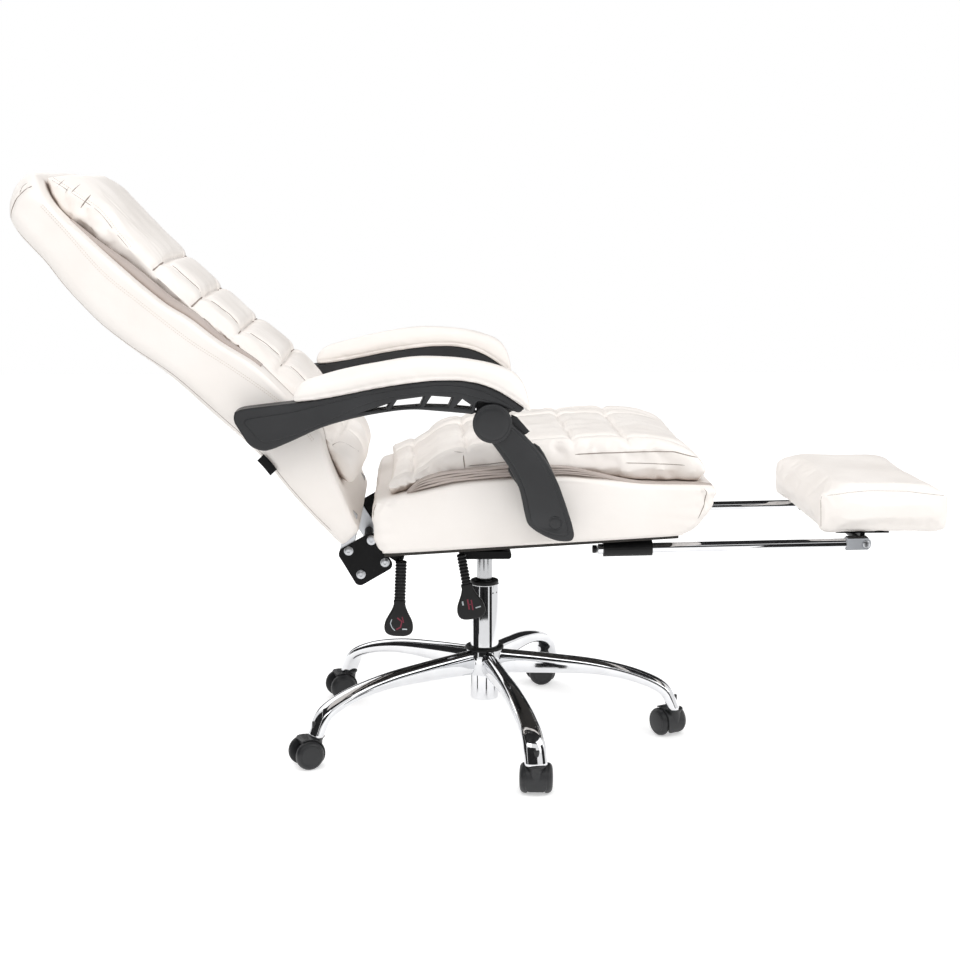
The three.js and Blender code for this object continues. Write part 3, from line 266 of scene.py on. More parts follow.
def new_material(name):
    material = bpy.data.materials.new(name)
    material.use_nodes = True
    tree = material.node_tree
    shader = tree.nodes["Principled BSDF"]
    coordinates = tree.nodes.new("ShaderNodeTexCoord")

    def add(kind, links=None, **values):
        node = tree.nodes.new(kind)
        for key, value in values.items():
            if key in node.inputs:
                node.inputs[key].default_value = value
            else:
                setattr(node, key, value)
        for key, socket in (links or {}).items():
            tree.links.new(socket, node.inputs[key])
        return node

    return material, tree, shader, coordinates.outputs["Object"], add


def ramp(add, socket, stops):
    node = add("ShaderNodeValToRGB", {"Fac": socket})
    while len(node.color_ramp.elements) < len(stops):
        node.color_ramp.elements.new(0.5)
    for element, (place, color) in zip(node.color_ramp.elements, stops):
        element.position = place
        element.color = (*color, 1) if len(color) == 3 else color
    return node.outputs["Color"]


def grey(v):
    return (v, v, v)


def leather_material(name, light, dark, roughness=0.46, grain=0.12, creases=0.25):
    material, tree, shader, place, add = new_material(name)
    cloud = add("ShaderNodeTexNoise", {"Vector": place}, Scale=9.0, Detail=4.0)
    colour = ramp(add, cloud.outputs["Fac"], [(0.3, dark), (0.62, light)])
    # Painted shade: ambient occlusion darkens the leather's colour in creases, seams, gaps and where parts meet
    closed = add("ShaderNodeAmbientOcclusion", Distance=0.016, samples=6)
    crease_shade_tint = ramp(add, closed.outputs["AO"], [(0.12, (0.50, 0.43, 0.39)), (0.62, (1, 1, 1))])
    crease_shaded_colour = add("ShaderNodeMix", data_type="RGBA", blend_type="MULTIPLY")
    crease_shaded_colour.inputs[0].default_value = 1.0
    tree.links.new(colour, crease_shaded_colour.inputs[6])
    tree.links.new(crease_shade_tint, crease_shaded_colour.inputs[7])
    tree.links.new(crease_shaded_colour.outputs[2], shader.inputs["Base Color"])
    pebble = add("ShaderNodeTexVoronoi", {"Vector": place}, Scale=620.0, feature="SMOOTH_F1")
    fine = add("ShaderNodeTexNoise", {"Vector": place}, Scale=1400.0, Detail=2.0)
    fold = add("ShaderNodeTexNoise", {"Vector": place}, Scale=38.0, Detail=5.0, Distortion=0.6)
    bump1 = add("ShaderNodeBump", {"Height": pebble.outputs["Distance"]}, Strength=grain, Distance=0.0006)
    below = {"Height": fine.outputs["Fac"], "Normal": bump1.outputs["Normal"]}
    bump2 = add("ShaderNodeBump", below, Strength=grain * 0.6, Distance=0.0003)
    below = {"Height": fold.outputs["Fac"], "Normal": bump2.outputs["Normal"]}
    bump3 = add("ShaderNodeBump", below, Strength=creases, Distance=0.0022)
    tree.links.new(bump3.outputs["Normal"], shader.inputs["Normal"])
    rough = ramp(add, cloud.outputs["Fac"], [(0.25, grey(roughness - 0.07)), (0.75, grey(roughness + 0.08))])
    tree.links.new(rough, shader.inputs["Roughness"])
    shader.inputs["Specular IOR Level"].default_value = 0.42
    return material


def plastic_material(name, base, roughness, texture=0.18, scale=900.0, gloss=0.4):
    material, tree, shader, place, add = new_material(name)
    cloud = add("ShaderNodeTexNoise", {"Vector": place}, Scale=14.0, Detail=5.0)
    light = tuple(min(c * 1.35 + 0.004, 1) for c in base)
    tree.links.new(ramp(add, cloud.outputs["Fac"], [(0.35, base), (0.75, light)]), shader.inputs["Base Color"])
    grain = add("ShaderNodeTexNoise", {"Vector": place}, Scale=scale, Detail=2.0)
    bump = add("ShaderNodeBump", {"Height": grain.outputs["Fac"]}, Strength=texture, Distance=0.0004)
    tree.links.new(bump.outputs["Normal"], shader.inputs["Normal"])
    tree.links.new(
        ramp(add, cloud.outputs["Fac"], [(0.3, grey(roughness - 0.05)), (0.8, grey(roughness + 0.08))]),
        shader.inputs["Roughness"],
    )
    shader.inputs["Specular IOR Level"].default_value = gloss
    return material


def metal_material(name, base, roughness, smear=0.02, brushed=0.0):
    material, tree, shader, place, add = new_material(name)
    shader.inputs["Metallic"].default_value = 1.0
    cloud = add("ShaderNodeTexNoise", {"Vector": place}, Scale=30.0, Detail=6.0)
    dull = tuple(c * 0.93 for c in base)
    tree.links.new(ramp(add, cloud.outputs["Fac"], [(0.35, dull), (0.7, base)]), shader.inputs["Base Color"])
    tree.links.new(
        ramp(add, cloud.outputs["Fac"], [(0.3, grey(roughness)), (0.8, grey(roughness + smear))]),
        shader.inputs["Roughness"],
    )
    if brushed:
        fine = add("ShaderNodeTexNoise", {"Vector": place}, Scale=1100.0, Detail=2.0)
        bump = add("ShaderNodeBump", {"Height": fine.outputs["Fac"]}, Strength=brushed, Distance=0.0003)
        tree.links.new(bump.outputs["Normal"], shader.inputs["Normal"])
    return material


LEATHER = leather_material("white_leather", (0.93, 0.885, 0.845), (0.895, 0.845, 0.80))
THREAD = plastic_material("thread", (0.60, 0.53, 0.47), 0.7, texture=0.3, scale=1500)
SHADE = leather_material("seam_shadow", (0.30, 0.25, 0.22), (0.24, 0.20, 0.17), roughness=0.8)
# Darker copy of the white leather, painted as the shade inside gaps and folds
RECESS_SHADE = leather_material("recess_shade_leather", (0.52, 0.455, 0.42), (0.47, 0.405, 0.37), roughness=0.7)
BLACK = plastic_material("black_moulded_plastic", (0.017, 0.0175, 0.019), 0.4, texture=0.22, scale=1300, gloss=0.42)
SOFT_BLACK = plastic_material("soft_black_plastic", (0.007, 0.007, 0.0074), 0.45, gloss=0.26)
CHROME = metal_material("chrome", (0.76, 0.765, 0.78), 0.045)
GROUND_STEEL = metal_material("ground_steel", (0.44, 0.445, 0.455), 0.14)
STEEL = metal_material("zinc_steel", (0.52, 0.53, 0.55), 0.28, 0.08, brushed=0.1)
BLACK_STEEL = plastic_material("black_powder_coat", (0.004, 0.004, 0.0044), 0.42, texture=0.35, scale=700, gloss=0.12)
GREY = plastic_material("grey_fitting", (0.30, 0.31, 0.33), 0.4)
BOARD = plastic_material("covered_board", (0.03, 0.027, 0.024), 0.8, texture=0.5, scale=300)
RED_PRINT = plastic_material("dull_red_print", (0.16, 0.012, 0.03), 0.5)
PALE_PRINT = plastic_material("pale_print", (0.42, 0.46, 0.48), 0.5)

SLOTS = {
    "leather": LEATHER,
    "black_plastic": BLACK,
    "soft_black": SOFT_BLACK,
    "chrome": CHROME,
    "steel": STEEL,
    "black_steel": BLACK_STEEL,
    "board": BOARD,
}
for part in frame["record"]["subparts"]:
    node = nodes[part["node"]]
    for i in range(max(len(node.material_slots), 1)):
        if not node.material_slots:
            node.data.materials.append(SLOTS[part["material_slot"]])
        node.material_slots[i].material = SLOTS[part["material_slot"]]


def finish_piece(obj, body, slot, *replaced):
    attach(obj, body)
    if replaced:
        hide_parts(*replaced)
    return obj


def hard_piece(obj, body, slot, *replaced, angle=35):
    """Moulded or metal piece, with the light broken only at edges sharper than the angle."""
    return finish_piece(rounded(obj, 0, angle=angle), body, slot, *replaced)


def upholstered(obj, body, node):
    """Leather cover in place of a soft CAD solid."""
    finish_piece(obj, body, "leather", node)
    return obj


# ---------------------------------------------------------------- soft goods helpers


def wobble(x, y, z, seed):
    """Smooth noise in -1..1 at each point, the same on every run."""
    offset = Vector((seed * 17.3, seed * 5.1, seed * 9.7))
    return np.array([noise.noise(Vector(p) + offset) for p in np.stack([x, y, z], 1)])


def padded_grid(us, vs, place):
    """Closed pad: the top and bottom skins share the rim."""
    nu, nv = len(us), len(vs)
    index, points, faces = {}, [], []

    def at(i, j, side):
        rim = i in (0, nu - 1) or j in (0, nv - 1)
        key = (i, j, 0 if rim else side)
        if key not in index:
            index[key] = len(points)
            points.append(place(us[i], vs[j], 0 if rim else side))
        return index[key]

    for side in (1, -1):
        for i in range(nu - 1):
            for j in range(nv - 1):
                f = (at(i, j, side), at(i + 1, j, side), at(i + 1, j + 1, side), at(i, j + 1, side))
                faces.append(f if side > 0 else tuple(reversed(f)))
    return points, faces


PRESSURE = 4.0


def inflate(obj, voxel, cap, frames=20):
    """Swells a pad as stuffed cloth. No point moves further than cap millimetres."""
    mod = obj.modifiers.new("remesh", "REMESH")
    mod.mode = "VOXEL"
    mod.voxel_size = voxel * MM
    apply_modifiers(obj)
    before = np.zeros(len(obj.data.vertices) * 3)
    obj.data.vertices.foreach_get("co", before)
    mod = obj.modifiers.new("cloth", "CLOTH")
    cloth = mod.settings
    cloth.quality = 4
    cloth.mass = 0.4
    cloth.tension_stiffness = 12
    cloth.compression_stiffness = 8
    cloth.bending_stiffness = 0.6
    cloth.use_pressure = True
    cloth.uniform_pressure_force = PRESSURE
    cloth.effector_weights.gravity = 0
    mod.collision_settings.use_collision = False
    scene = bpy.context.scene
    for f in range(1, frames + 1):
        scene.frame_set(f)
    apply_modifiers(obj)
    scene.frame_set(1)
    after = np.zeros(len(before))
    obj.data.vertices.foreach_get("co", after)
    move = (after - before).reshape(-1, 3)
    length = np.linalg.norm(move, axis=1, keepdims=True)
    move *= np.minimum(1, cap * MM / np.maximum(length, 1e-9))
    obj.data.vertices.foreach_set("co", (before.reshape(-1, 3) + move).ravel())
    obj.data.update()
    return obj


def subdivide(obj):
    mod = obj.modifiers.new("subdivision", "SUBSURF")
    mod.levels = mod.render_levels = 1
    apply_modifiers(obj)
    obj.data.polygons.foreach_set("use_smooth", [True] * len(obj.data.polygons))
    return obj


def surface_tree(obj):
    mesh = obj.data
    return BVHTree.FromPolygons([v.co.copy() for v in mesh.vertices], [tuple(p.vertices) for p in mesh.polygons])


# In metres: how far before the surface a ray starts, how far it looks, and the jump that breaks a stroke
RAY_BACK, RAY_LENGTH, STROKE_BREAK = 0.12, 0.3, 0.02


def land(target, path, direction, step=3.0):
    """Points and normals where a path, seen along a direction, falls on a surface."""
    tree = surface_tree(target)
    d = Vector(direction).normalized()
    dense = []
    for a, b in zip(path, path[1:]):
        a, b = Vector(a), Vector(b)
        n = max(int((b - a).length / step), 1)
        dense += [a.lerp(b, k / n) for k in range(n)]
    dense.append(Vector(path[-1]))
    landed = []
    for p in dense:
        hit = tree.ray_cast(p * MM - d * RAY_BACK, d, RAY_LENGTH)
        if hit[0] is not None and (not landed or (hit[0] - landed[-1][0]).length < STROKE_BREAK):
            landed.append((hit[0], hit[1]))
    return landed


def seam_line(target, path, direction, material, radius=0.7, sink=0.25):
    """Fine sewn edge: a thin tube half sunk in the surface, tapering out at both ends; in the dark materials it is a
    painted shade line.
    """
    landed = land(target, path, direction)
    if len(landed) < 4:
        return None
    pts = [p - n * sink * MM for p, n in landed]
    pts = [pts[0], *[(a + b * 2 + c) / 4 for a, b, c in zip(pts, pts[1:], pts[2:])], pts[-1]]
    rings = []
    normal = None
    for i, p in enumerate(pts):
        t = (pts[min(i + 1, len(pts) - 1)] - pts[max(i - 1, 0)]).normalized()
        normal = landed[i][1] if normal is None else normal
        normal = (normal - t * normal.dot(t)).normalized()
        side = t.cross(normal)
        size = radius * MM * min(1, 0.3 + 0.35 * min(i, len(pts) - 1 - i))
        rings.append([tuple(p + size * (math.cos(a) * normal + math.sin(a) * side)) for a in around(8)])
    return loft("seam", rings, material)


def seam_lines(target, place, direction, material, rows, sink=0.25):
    """One seam for each row of (points, radius); place puts the points on a plane off the surface."""
    return [seam_line(target, place(points), direction, material, radius, sink) for points, radius in rows]


def sewn(name, body, strokes):
    """Joins the strokes that landed and lets them ride with their cushion."""
    strokes = [stroke for stroke in strokes if stroke is not None]
    if strokes:
        finish_piece(join(name, strokes), body, "leather")


def stitches(name, target, path, direction, material, pitch=4.2, length=2.8, radius=0.42, lift=0.15):
    """Thread lying on a surface: short dashes along a path that is dropped onto the target."""
    landed = land(target, path, direction)
    points, faces = [], []
    run = 0.0
    for (a, na), (b, _) in zip(landed, landed[1:]):
        length_here = (b - a).length
        if length_here > STROKE_BREAK or length_here < 1e-7:
            continue
        t = (b - a).normalized()
        step = pitch * MM
        while run < length_here:
            centre = a + t * run + na * lift * MM
            side = t.cross(na).normalized()
            up = side.cross(t).normalized()
            base = len(points)
            for along_, size in ((-0.5, 0.35), (-0.25, 1.0), (0.25, 1.0), (0.5, 0.35)):
                for k in range(6):
                    ang = math.pi * k / 3
                    points.append(
                        centre
                        + t * along_ * length * MM
                        + (math.cos(ang) * side + math.sin(ang) * up) * radius * size * MM
                    )
            for r in range(3):
                row = base + r * 6
                for k in range(6):
                    faces.append((row + k, row + (k + 1) % 6, row + 6 + (k + 1) % 6, row + 6 + k))
            faces.append(tuple(base + k for k in reversed(range(6))))
            faces.append(tuple(base + 18 + k for k in range(6)))
            run += step
        run -= length_here
    if not faces:
        return None
    return mesh_object(name, points, faces, material)


# ---------------------------------------------------------------- seat

SEAT_REAR, SEAT_LENGTH, SEAT_HALF = -192.0, 562.0, 255.0
# How far the box's outline draws in at its side faces, as shares of half its length and height
ROUND_X, ROUND_Z = 14.0 / 280, 9.0 / 60
SEAM = table([
    (-192, 468), (-160, 474), (-130, 484), (-57, 505), (38, 514), (117, 515), (173, 509), (248, 498), (335, 496),
    (370, 493),
])


def seat_box():
    outline = catmull(
        [
            (-150, 383.0), (60, 395), (290, 408), (318, 412.5), (338, 424), (357, 447), (367, 470), (369, 486),
            (362, 492.5), (335, 495), (248, 497), (173, 508), (117, 514), (38, 513), (-57, 504), (-130, 483),
            (-176, 471), (-187, 466), (-191, 452), (-190, 425), (-186, 400), (-176, 386),
        ],
        6,
        closed=True,
    )
    centre = np.array([90.0, 445.0])
    rings = []
    steps = [(0.0, 1.0), (0.001, 0.93), (0.004, 0.72), (0.011, 0.45), (0.024, 0.2), (0.045, 0.05), (0.08, 0.0)]
    ys = [
        *[(SEAT_HALF, shrink, None) for shrink in (0.12, 0.4, 0.7, 0.88, 0.96)],
        *[(SEAT_HALF * (1 - inset), None, curve) for inset, curve in steps],
        *[(y, None, 0.0) for y in (210.0, 170.0, 120.0, 60.0)],
    ]
    for sign in (-1, 1):
        part = []
        for y, shrink, curve in ys:
            ring = []
            for x, z in outline:
                p = np.array([x, z])
                d = p - centre
                if shrink is not None:
                    q = centre + d * shrink * (1 - ROUND_X)
                    q[1] = centre[1] + d[1] * shrink * (1 - ROUND_Z)
                else:
                    q = centre + np.array([d[0] * (1 - ROUND_X * curve), d[1] * (1 - ROUND_Z * curve)])
                ring.append(mm(q[0], sign * y, q[1]))
            part.append(ring)
        rings.extend(part if sign < 0 else [*reversed(part)])
        if sign < 0:
            rings.append([mm(x, 0.0, z) for x, z in outline])
    obj = loft("seat_box", rings, LEATHER)
    subdivide(obj)

    def shape(co):
        x, y, z = co.T
        out = co.copy()
        puff = unit(1 - np.abs((z - 447) / 52))
        ends = unit((np.abs(y) - 235) / 20)
        out[:, 1] -= np.sign(y) * ends * (1 - puff) ** 2 * 3.0
        crease = wobble(x * 0.030, y * 0.012, z * 0.075, 3)
        corner = unit((x - 300) / 40) + unit((-150 - x) / 30)
        amount = 0.5 + 2.6 * unit(corner)
        normal = np.stack([np.sign(x - 90) * unit((np.abs(x - 90) - 255) / 20), np.sign(y) * ends, 0 * z], 1)
        out += normal * (crease * amount * (z > 400))[:, None]
        high = unit((z - SEAM(x) + 14) / 12)
        lip = unit((np.abs(y) - 222) / 26) ** 1.4
        out[:, 2] -= high * lip * BOX_LIP(x)
        # gathered folds at the rear corners, where the cushion is pulled down
        rear = bell(x + 168, 17) * unit((z - 446) / 12) * unit((np.abs(y) - 225) / 20)
        folds = np.sin((x * 0.80 - z * 0.42) * 0.46)
        out[:, 1] -= np.sign(y) * rear * (3.0 + 1.6 * folds)
        front = bell(x - 348, 12) * unit((z - 440) / 30) * unit((np.abs(y) - 225) / 20)
        out[:, 1] -= np.sign(y) * front * (1.2 + 1.6 * np.sin((x + z * 0.5) * 0.4))
        return out

    return move_points(obj, shape)


# The seat's five cross seams, its two lengthwise ones, and how deep seams and their crossings are drawn in
CHANNELS = [-125 + 88 * i for i in range(5)]
BOLSTER = 150.0
SEAT_DEPTH, SEAT_KNOT = 11, 6
CROWN = table([
    (-192, 9), (-170, 15), (-140, 20), (-108, 22), (-80, 37), (-44, 43), (20, 45), (97, 48), (158, 56), (212, 66),
    (266, 70), (320, 60), (354, 44), (370, 30),
])
BOX_LIP = table([(-192, 0), (-130, 1), (-65, 5), (32, 6), (109, 4.5), (178, 2), (240, 1), (370, 0.5)])
SEAT_GAP = table([
    (-192, 1), (-150, 1), (-137, 2), (-130, 6), (-120, 12), (-107, 16.5), (-90, 17), (-65, 15), (-40, 13), (32, 13),
    (109, 11), (170, 6), (210, 3), (240, 2), (300, 1.5), (345, 1.5), (370, 1),
])
# The most that cloth may swell a cushion, in millimetres; both cushions are laid out nearly that much lower
SWELL = 22.0


def limited(rise, limit):
    """Keeps a swollen height under its limit with a smooth shoulder."""
    rise = np.clip(rise, 1e-6, None)
    return rise * limit / (rise**4 + limit**4) ** 0.25


def held(value, most):
    """Smoothly keeps a sideways reach within most."""
    return value / (1 + (np.abs(value) / most) ** 24) ** (1 / 24)


def seat_cushion():
    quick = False
    lean = 0.0 if quick else 6.0
    swell = 0.0 if quick else SWELL

    def place(u, v, side):
        corner = 1 - 0.05 * abs(u * v) ** 8
        bow = 10 * (1 - v * v) * max(u, 0) ** 6
        x = SEAT_REAR + SEAT_LENGTH * (1 + u * (1 - lean / 281)) / 2 + bow
        y = (253 - lean) * v * corner
        seat = float(SEAM(x)) + 1.2
        if side <= 0:
            return mm(x, y, seat)
        round_ = math.sqrt(max((1 - abs(u) ** 14) * (1 - abs(v) ** 12), 0))
        full = math.sqrt(max((1 - abs(u) ** 8) * (1 - abs(v) ** 6), 0))
        h = float(CROWN(x)) * round_ - swell * full * 0.9
        return mm(x, y, seat + max(h, 10.0 * round_))

    points, faces = padded_grid(spread(90, 0.96), spread(80, 0.96), place)
    obj = recalc(mesh_object("seat_cushion_cover", points, faces, LEATHER))
    inflate(obj, 6.0, SWELL)
    subdivide(obj)

    def shape(co):
        x, y, z = co.T
        seat = SEAM(x) + 1.0
        v = unit(np.abs(y) / 256)
        limit = CROWN(x) * np.sqrt(1 - 0.90 * v**20) * 1.17 + 1.0
        full = 1 + 0.4 * unit((np.abs(y) - 190) / 40)
        z = seat + limited((z - seat) * full, limit) * (z > seat)
        lip = unit((np.abs(y) - 224) / 24) ** 1.3
        base = seat + SEAT_GAP(x) * lip
        rise = np.clip(z - seat, 0, None)
        top = unit((rise - 2) / 12)
        sway = 3 * wobble(y * 0, y * 0.02, y * 0 + 5, 1)
        across = np.min([np.abs(x - c - sway) for c in CHANNELS], axis=0)
        inner = np.abs(y) < BOLSTER + 4
        lengthwise = np.abs(np.abs(y) - BOLSTER)
        front = unit((345 - x) / 20)
        sew = np.maximum(
            np.exp(-across / 6.0) * np.where(inner, 1.0, 0.6),
            np.exp(-lengthwise / 6.0) * front,
        )
        knot = np.exp(-np.hypot(across, lengthwise) / 9)
        depth = (SEAT_DEPTH * sew + SEAT_KNOT * knot) * top * np.clip(rise / 26, 0.3, 1)
        pucker = wobble(x * 0.11, y * 0.11, z * 0.05, 5)
        near = np.exp(-np.minimum(across, lengthwise) / 16)
        fold = wobble(x * 0.022, y * 0.03, z * 0.02, 7)
        edge = unit((np.abs(y) - 205) / 40) * top
        gather = wobble(x * 0.07, y * 0.01, z * 0.0, 9)
        out = co.copy()
        out[:, 2] = np.maximum(
            base, z - depth + (1.5 * pucker * near + 1.8 * fold) * top + 1.4 * gather * edge
        )
        wall = unit((np.abs(y) - 236) / 12) * unit((z - base) / 6)
        crease = np.exp(-across / 4.0) * np.clip((60 - x) / 20, 0.25, 1)
        tuck = bell(x + 170, 15) * (1 + 0.5 * np.sin((x * 0.80 - z * 0.42) * 0.46))
        out[:, 1] = held(y, 256.5) - np.sign(y) * wall * (3.4 * crease - 1.2 * gather + 1.6 * tuck)
        out[:, 0] = np.clip(out[:, 0], SEAT_REAR + 1, SEAT_REAR + SEAT_LENGTH + 13)
        return out

    return move_points(obj, shape)


def seat_details(box, cushion):
    """Painted shade in the recess between box and cushion, a darker strip behind darker ridges, and the fine sewn lines
    and the rear fold drawn as painted shade lines.
    """
    for side, sign in SIDES:
        # A darker strip and four ridges in the shade colour fill the gap: painted shade where the cushion overhangs the
        # box
        strip = []
        for x in np.linspace(-134, 362, 90):
            low, high = float(SEAM(x)) - float(BOX_LIP(x)) - 4, float(SEAM(x)) - 0.5 + float(SEAT_GAP(x))
            squeeze = min(1, (x + 136) / 20, (368 - x) / 20)
            outer = 238 + 3 * squeeze
            strip.append([mm(x, sign * y, z) for y, z in ((230, low), (outer, low), (outer, high), (230, high))])
        finish_piece(loft(f"seat_recess_shade_strip_{side}", strip, RECESS_SHADE), "seat", "leather")
        ridges = []
        for k in range(4):
            rings = []
            for i, x in enumerate(np.linspace(-132, 216 - 22 * k, 70)):
                low = float(SEAM(x)) - float(BOX_LIP(x)) + 1.6
                high = float(SEAM(x)) + float(SEAT_GAP(x))
                tip = min(1, 0.1 + i / 9, 0.1 + (69 - i) / 12)
                half = max((high - low) / 8, 0.4) * 1.04 * tip
                z = low + (high - low) * (k + 0.5) / 4 + 0.5 * math.sin(x * 0.07 + 2 * k)
                y = 245.5 + 0.8 * math.sin(x * 0.05 + k)
                rings.append([mm(x, sign * (y + 2.2 * tip * math.cos(a)), z + half * math.sin(a)) for a in around(12)])
            ridges.append(loft("ridge", rings, RECESS_SHADE))
        finish_piece(join(f"seat_welt_{side}", ridges), "seat", "leather")
        d = (0, -sign, 0)
        face = lambda pts: [(x, sign * 262, z) for x, z in pts]
        # Painted shade: dark lines along the piping, the channel ends and the box's corner seams
        sewn(f"seat_side_seam_shade_{side}", "seat", [
            *seam_lines(cushion, face, d, SHADE, [
                ([(-100, 541), (-60, 546), (-42, 545)], 0.8),
                ([(-36, 524), (0, 527), (34, 531)], 0.6),
                ([(140, 541), (182, 544), (259, 547), (300, 547), (340, 536), (353, 529)], 0.8),
                ([(221, 528), (262, 527), (319, 524)], 0.6),
                ([(-125, 538), (-121, 524), (-118, 508)], 1.1),
                ([(-43, 552), (-42, 536), (-40, 520)], 1.0),
            ], 0.1),
            *seam_lines(box, face, d, SHADE, [
                ([(336, 500), (352, 484), (347, 460), (338, 440)], 0.7),
                ([(-189, 444), (-188, 456), (-184, 466)], 0.9),
            ], 0.1),
            # Wide strokes of painted shade in the gathered fold at the rear corner
            *seam_lines(cushion, face, d, RECESS_SHADE, [
                ([(-187, 474), (-182, 488), (-170, 500)], 2.0),
                ([(-176, 474), (-168, 486), (-156, 497)], 1.8),
            ], 0.3),
        ])


# ---------------------------------------------------------------- back

PIVOT = np.array([-194.0, 396.0])
LEAN = math.radians(44)


def lean_back(co):
    """From the back's own axes (forwards, across, up along the back) to the chair's."""
    c, s = math.cos(LEAN), math.sin(LEAN)
    x, y, z = co.T
    return np.stack([PIVOT[0] + x * c - z * s, y, PIVOT[1] + x * s + z * c], 1)


def leaned(x, y, z):
    return tuple(lean_back(np.array([[x, y, z]], float))[0])


SHELL_REAR = table([
    (28, -39), (46, -37), (105, -34), (165, -30), (225, -24), (274, -25), (326, -28), (414, -34), (511, -50),
    (556, -56), (605, -56.5), (634, -55.5), (695, -50), (733, -50), (762, -46), (773, -42), (785, -32), (798, -19),
    (807, -5), (812, 10),
])
SHELL_FRONT = table([
    (28, 4), (46, 8), (69, 18), (92, 28), (119, 39), (161, 58), (191, 75), (260, 77), (337, 75), (406, 59), (467, 50),
    (500, 41), (543, 35), (597, 30), (650, 26), (690, 23), (720, 21), (750, 23), (770, 28), (785, 33), (796, 34),
    (805, 29), (812, 18),
])
SHELL_SIDE = table([
    (28, 230), (46, 240), (69, 247), (100, 255), (161, 258), (400, 258), (500, 254), (600, 246), (700, 232),
    (757, 224), (780, 218), (793, 208), (802, 190), (809, 160), (812, 130),
])
SHELL_FOLD = table([(-60, 752), (-49, 759), (-38, 771), (-20, 782), (-7, 785), (14, 784), (29, 777), (60, 760)])


def back_shell():
    levels = [28, 29.5, 32, 37, 45, 54, 62, *range(70, 760, 9), *range(760, 800, 5), 803, 806, 808.5, 810.5, 812]
    rings = []
    for z in levels:
        rear, front, half = float(SHELL_REAR(z)), float(SHELL_FRONT(z)), float(SHELL_SIDE(z))
        depth = front - rear
        end = min((z - 28) / 12, 1)
        big = min(24.0, depth * 0.45)
        small = min(9.0 + 15 * min(max((z - 745) / 35, 0), 1), depth * (0.3 if z < 740 else 0.42))
        pull = 6 * (1 - math.sqrt(max(1 - (1 - end) ** 2, 0)))
        rear, front, half = rear + pull, front - pull, half - pull
        ring = []
        for cx, cy, radius, start in (
            (front - small, half - small, small, 0), (rear + big, half - big, big, 1),
            (rear + big, big - half, big, 2), (front - small, small - half, small, 3),
        ):
            for i in range(7):
                a = (start + i / 6) * math.pi / 2
                ring.append((cx + radius * math.cos(a), cy + radius * math.sin(a), z))
        full = []
        for i, p in enumerate(ring):
            q = ring[(i + 1) % len(ring)]
            full.append(p)
            fill = 0 if (i % 7) != 6 else {0: 6, 1: 22, 2: 6, 3: 22}[i // 7]
            for k in range(1, fill + 1):
                t = k / (fill + 1)
                full.append(tuple(np.array(p) * (1 - t) + np.array(q) * t))
        rings.append([mm(*p) for p in full])
    obj = loft("back_shell_cover", rings, LEATHER)
    subdivide(obj)

    def shape(co):
        x, y, z = co.T
        out = co.copy()
        half = SHELL_SIDE(z)
        rear = SHELL_REAR(z)
        flank = unit((np.abs(y) - half + 6) / 5)
        behind = unit((rear + 8 - x) / 7)
        wave = wobble(x * 0.018, y * 0.006, z * 0.0065, 11)
        small = wobble(x * 0.05, y * 0.02, z * 0.022, 13)
        out[:, 1] += np.sign(y) * flank * (0.9 * wave + 0.4 * small - 0.6)
        out[:, 0] -= behind * (1.1 * wave + 0.6 * small)
        level = SHELL_FOLD(x)
        groove = bell(z - level, 2.8) * flank
        out[:, 1] -= np.sign(y) * groove * 4.2
        puff = unit((z - level - 2) / 14) * flank
        out[:, 1] += np.sign(y) * puff * 2.6
        folds = np.sin((x * 0.8 + z * 0.4) * 0.16 + 2.1) * bell(z - 776, 16) * flank
        out[:, 1] += np.sign(y) * folds * 1.2
        out[:, 1] = np.clip(out[:, 1], -261.5, 261.5)
        return lean_back(out)

    return move_points(obj, shape)


CUSHION_MIDDLE = table([
    (78, 62), (86, 84), (100, 104), (116, 108), (150, 104), (200, 104), (274, 105), (319, 104), (400, 98), (485, 93),
    (556, 90), (626, 88), (671, 90), (716, 90), (745, 84), (770, 75), (788, 62), (800, 47),
])
CUSHION_SIDE = table([
    (78, 45), (90, 75), (110, 90), (130, 88), (156, 84), (200, 82), (269, 84), (316, 82), (403, 74), (493, 70),
    (569, 66), (645, 66), (693, 66), (742, 65), (773, 59), (788, 53), (800, 42),
])
CUSHION_SEAM = table([
    (78, 33), (90, 46), (110, 56), (156, 66), (191, 78), (260, 80), (337, 79), (406, 69), (467, 60), (543, 57),
    (601, 60), (650, 61), (690, 63), (722, 63), (746, 57), (772, 50), (788, 45), (800, 38),
])
BACK_GAP = table([
    (78, 1), (160, 1.5), (300, 1.5), (350, 2.5), (400, 5), (450, 8.5), (500, 11), (560, 12), (600, 10), (640, 5),
    (675, 2.2), (700, 1.0), (800, 0.8),
])
CUSHION_HALF = table([
    (78, 205), (95, 220), (125, 226), (400, 224), (500, 221), (600, 213), (700, 201), (757, 194), (780, 188),
    (790, 182), (800, 172),
])
# The same for the back, and the deep seam over its lumbar roll
BACK_CHANNELS = [561, 477, 394, 308, 228]
BACK_BOLSTER = 120.0
BACK_DEPTH, BACK_KNOT = 17, 8
ROLL_SEAM = 158.0


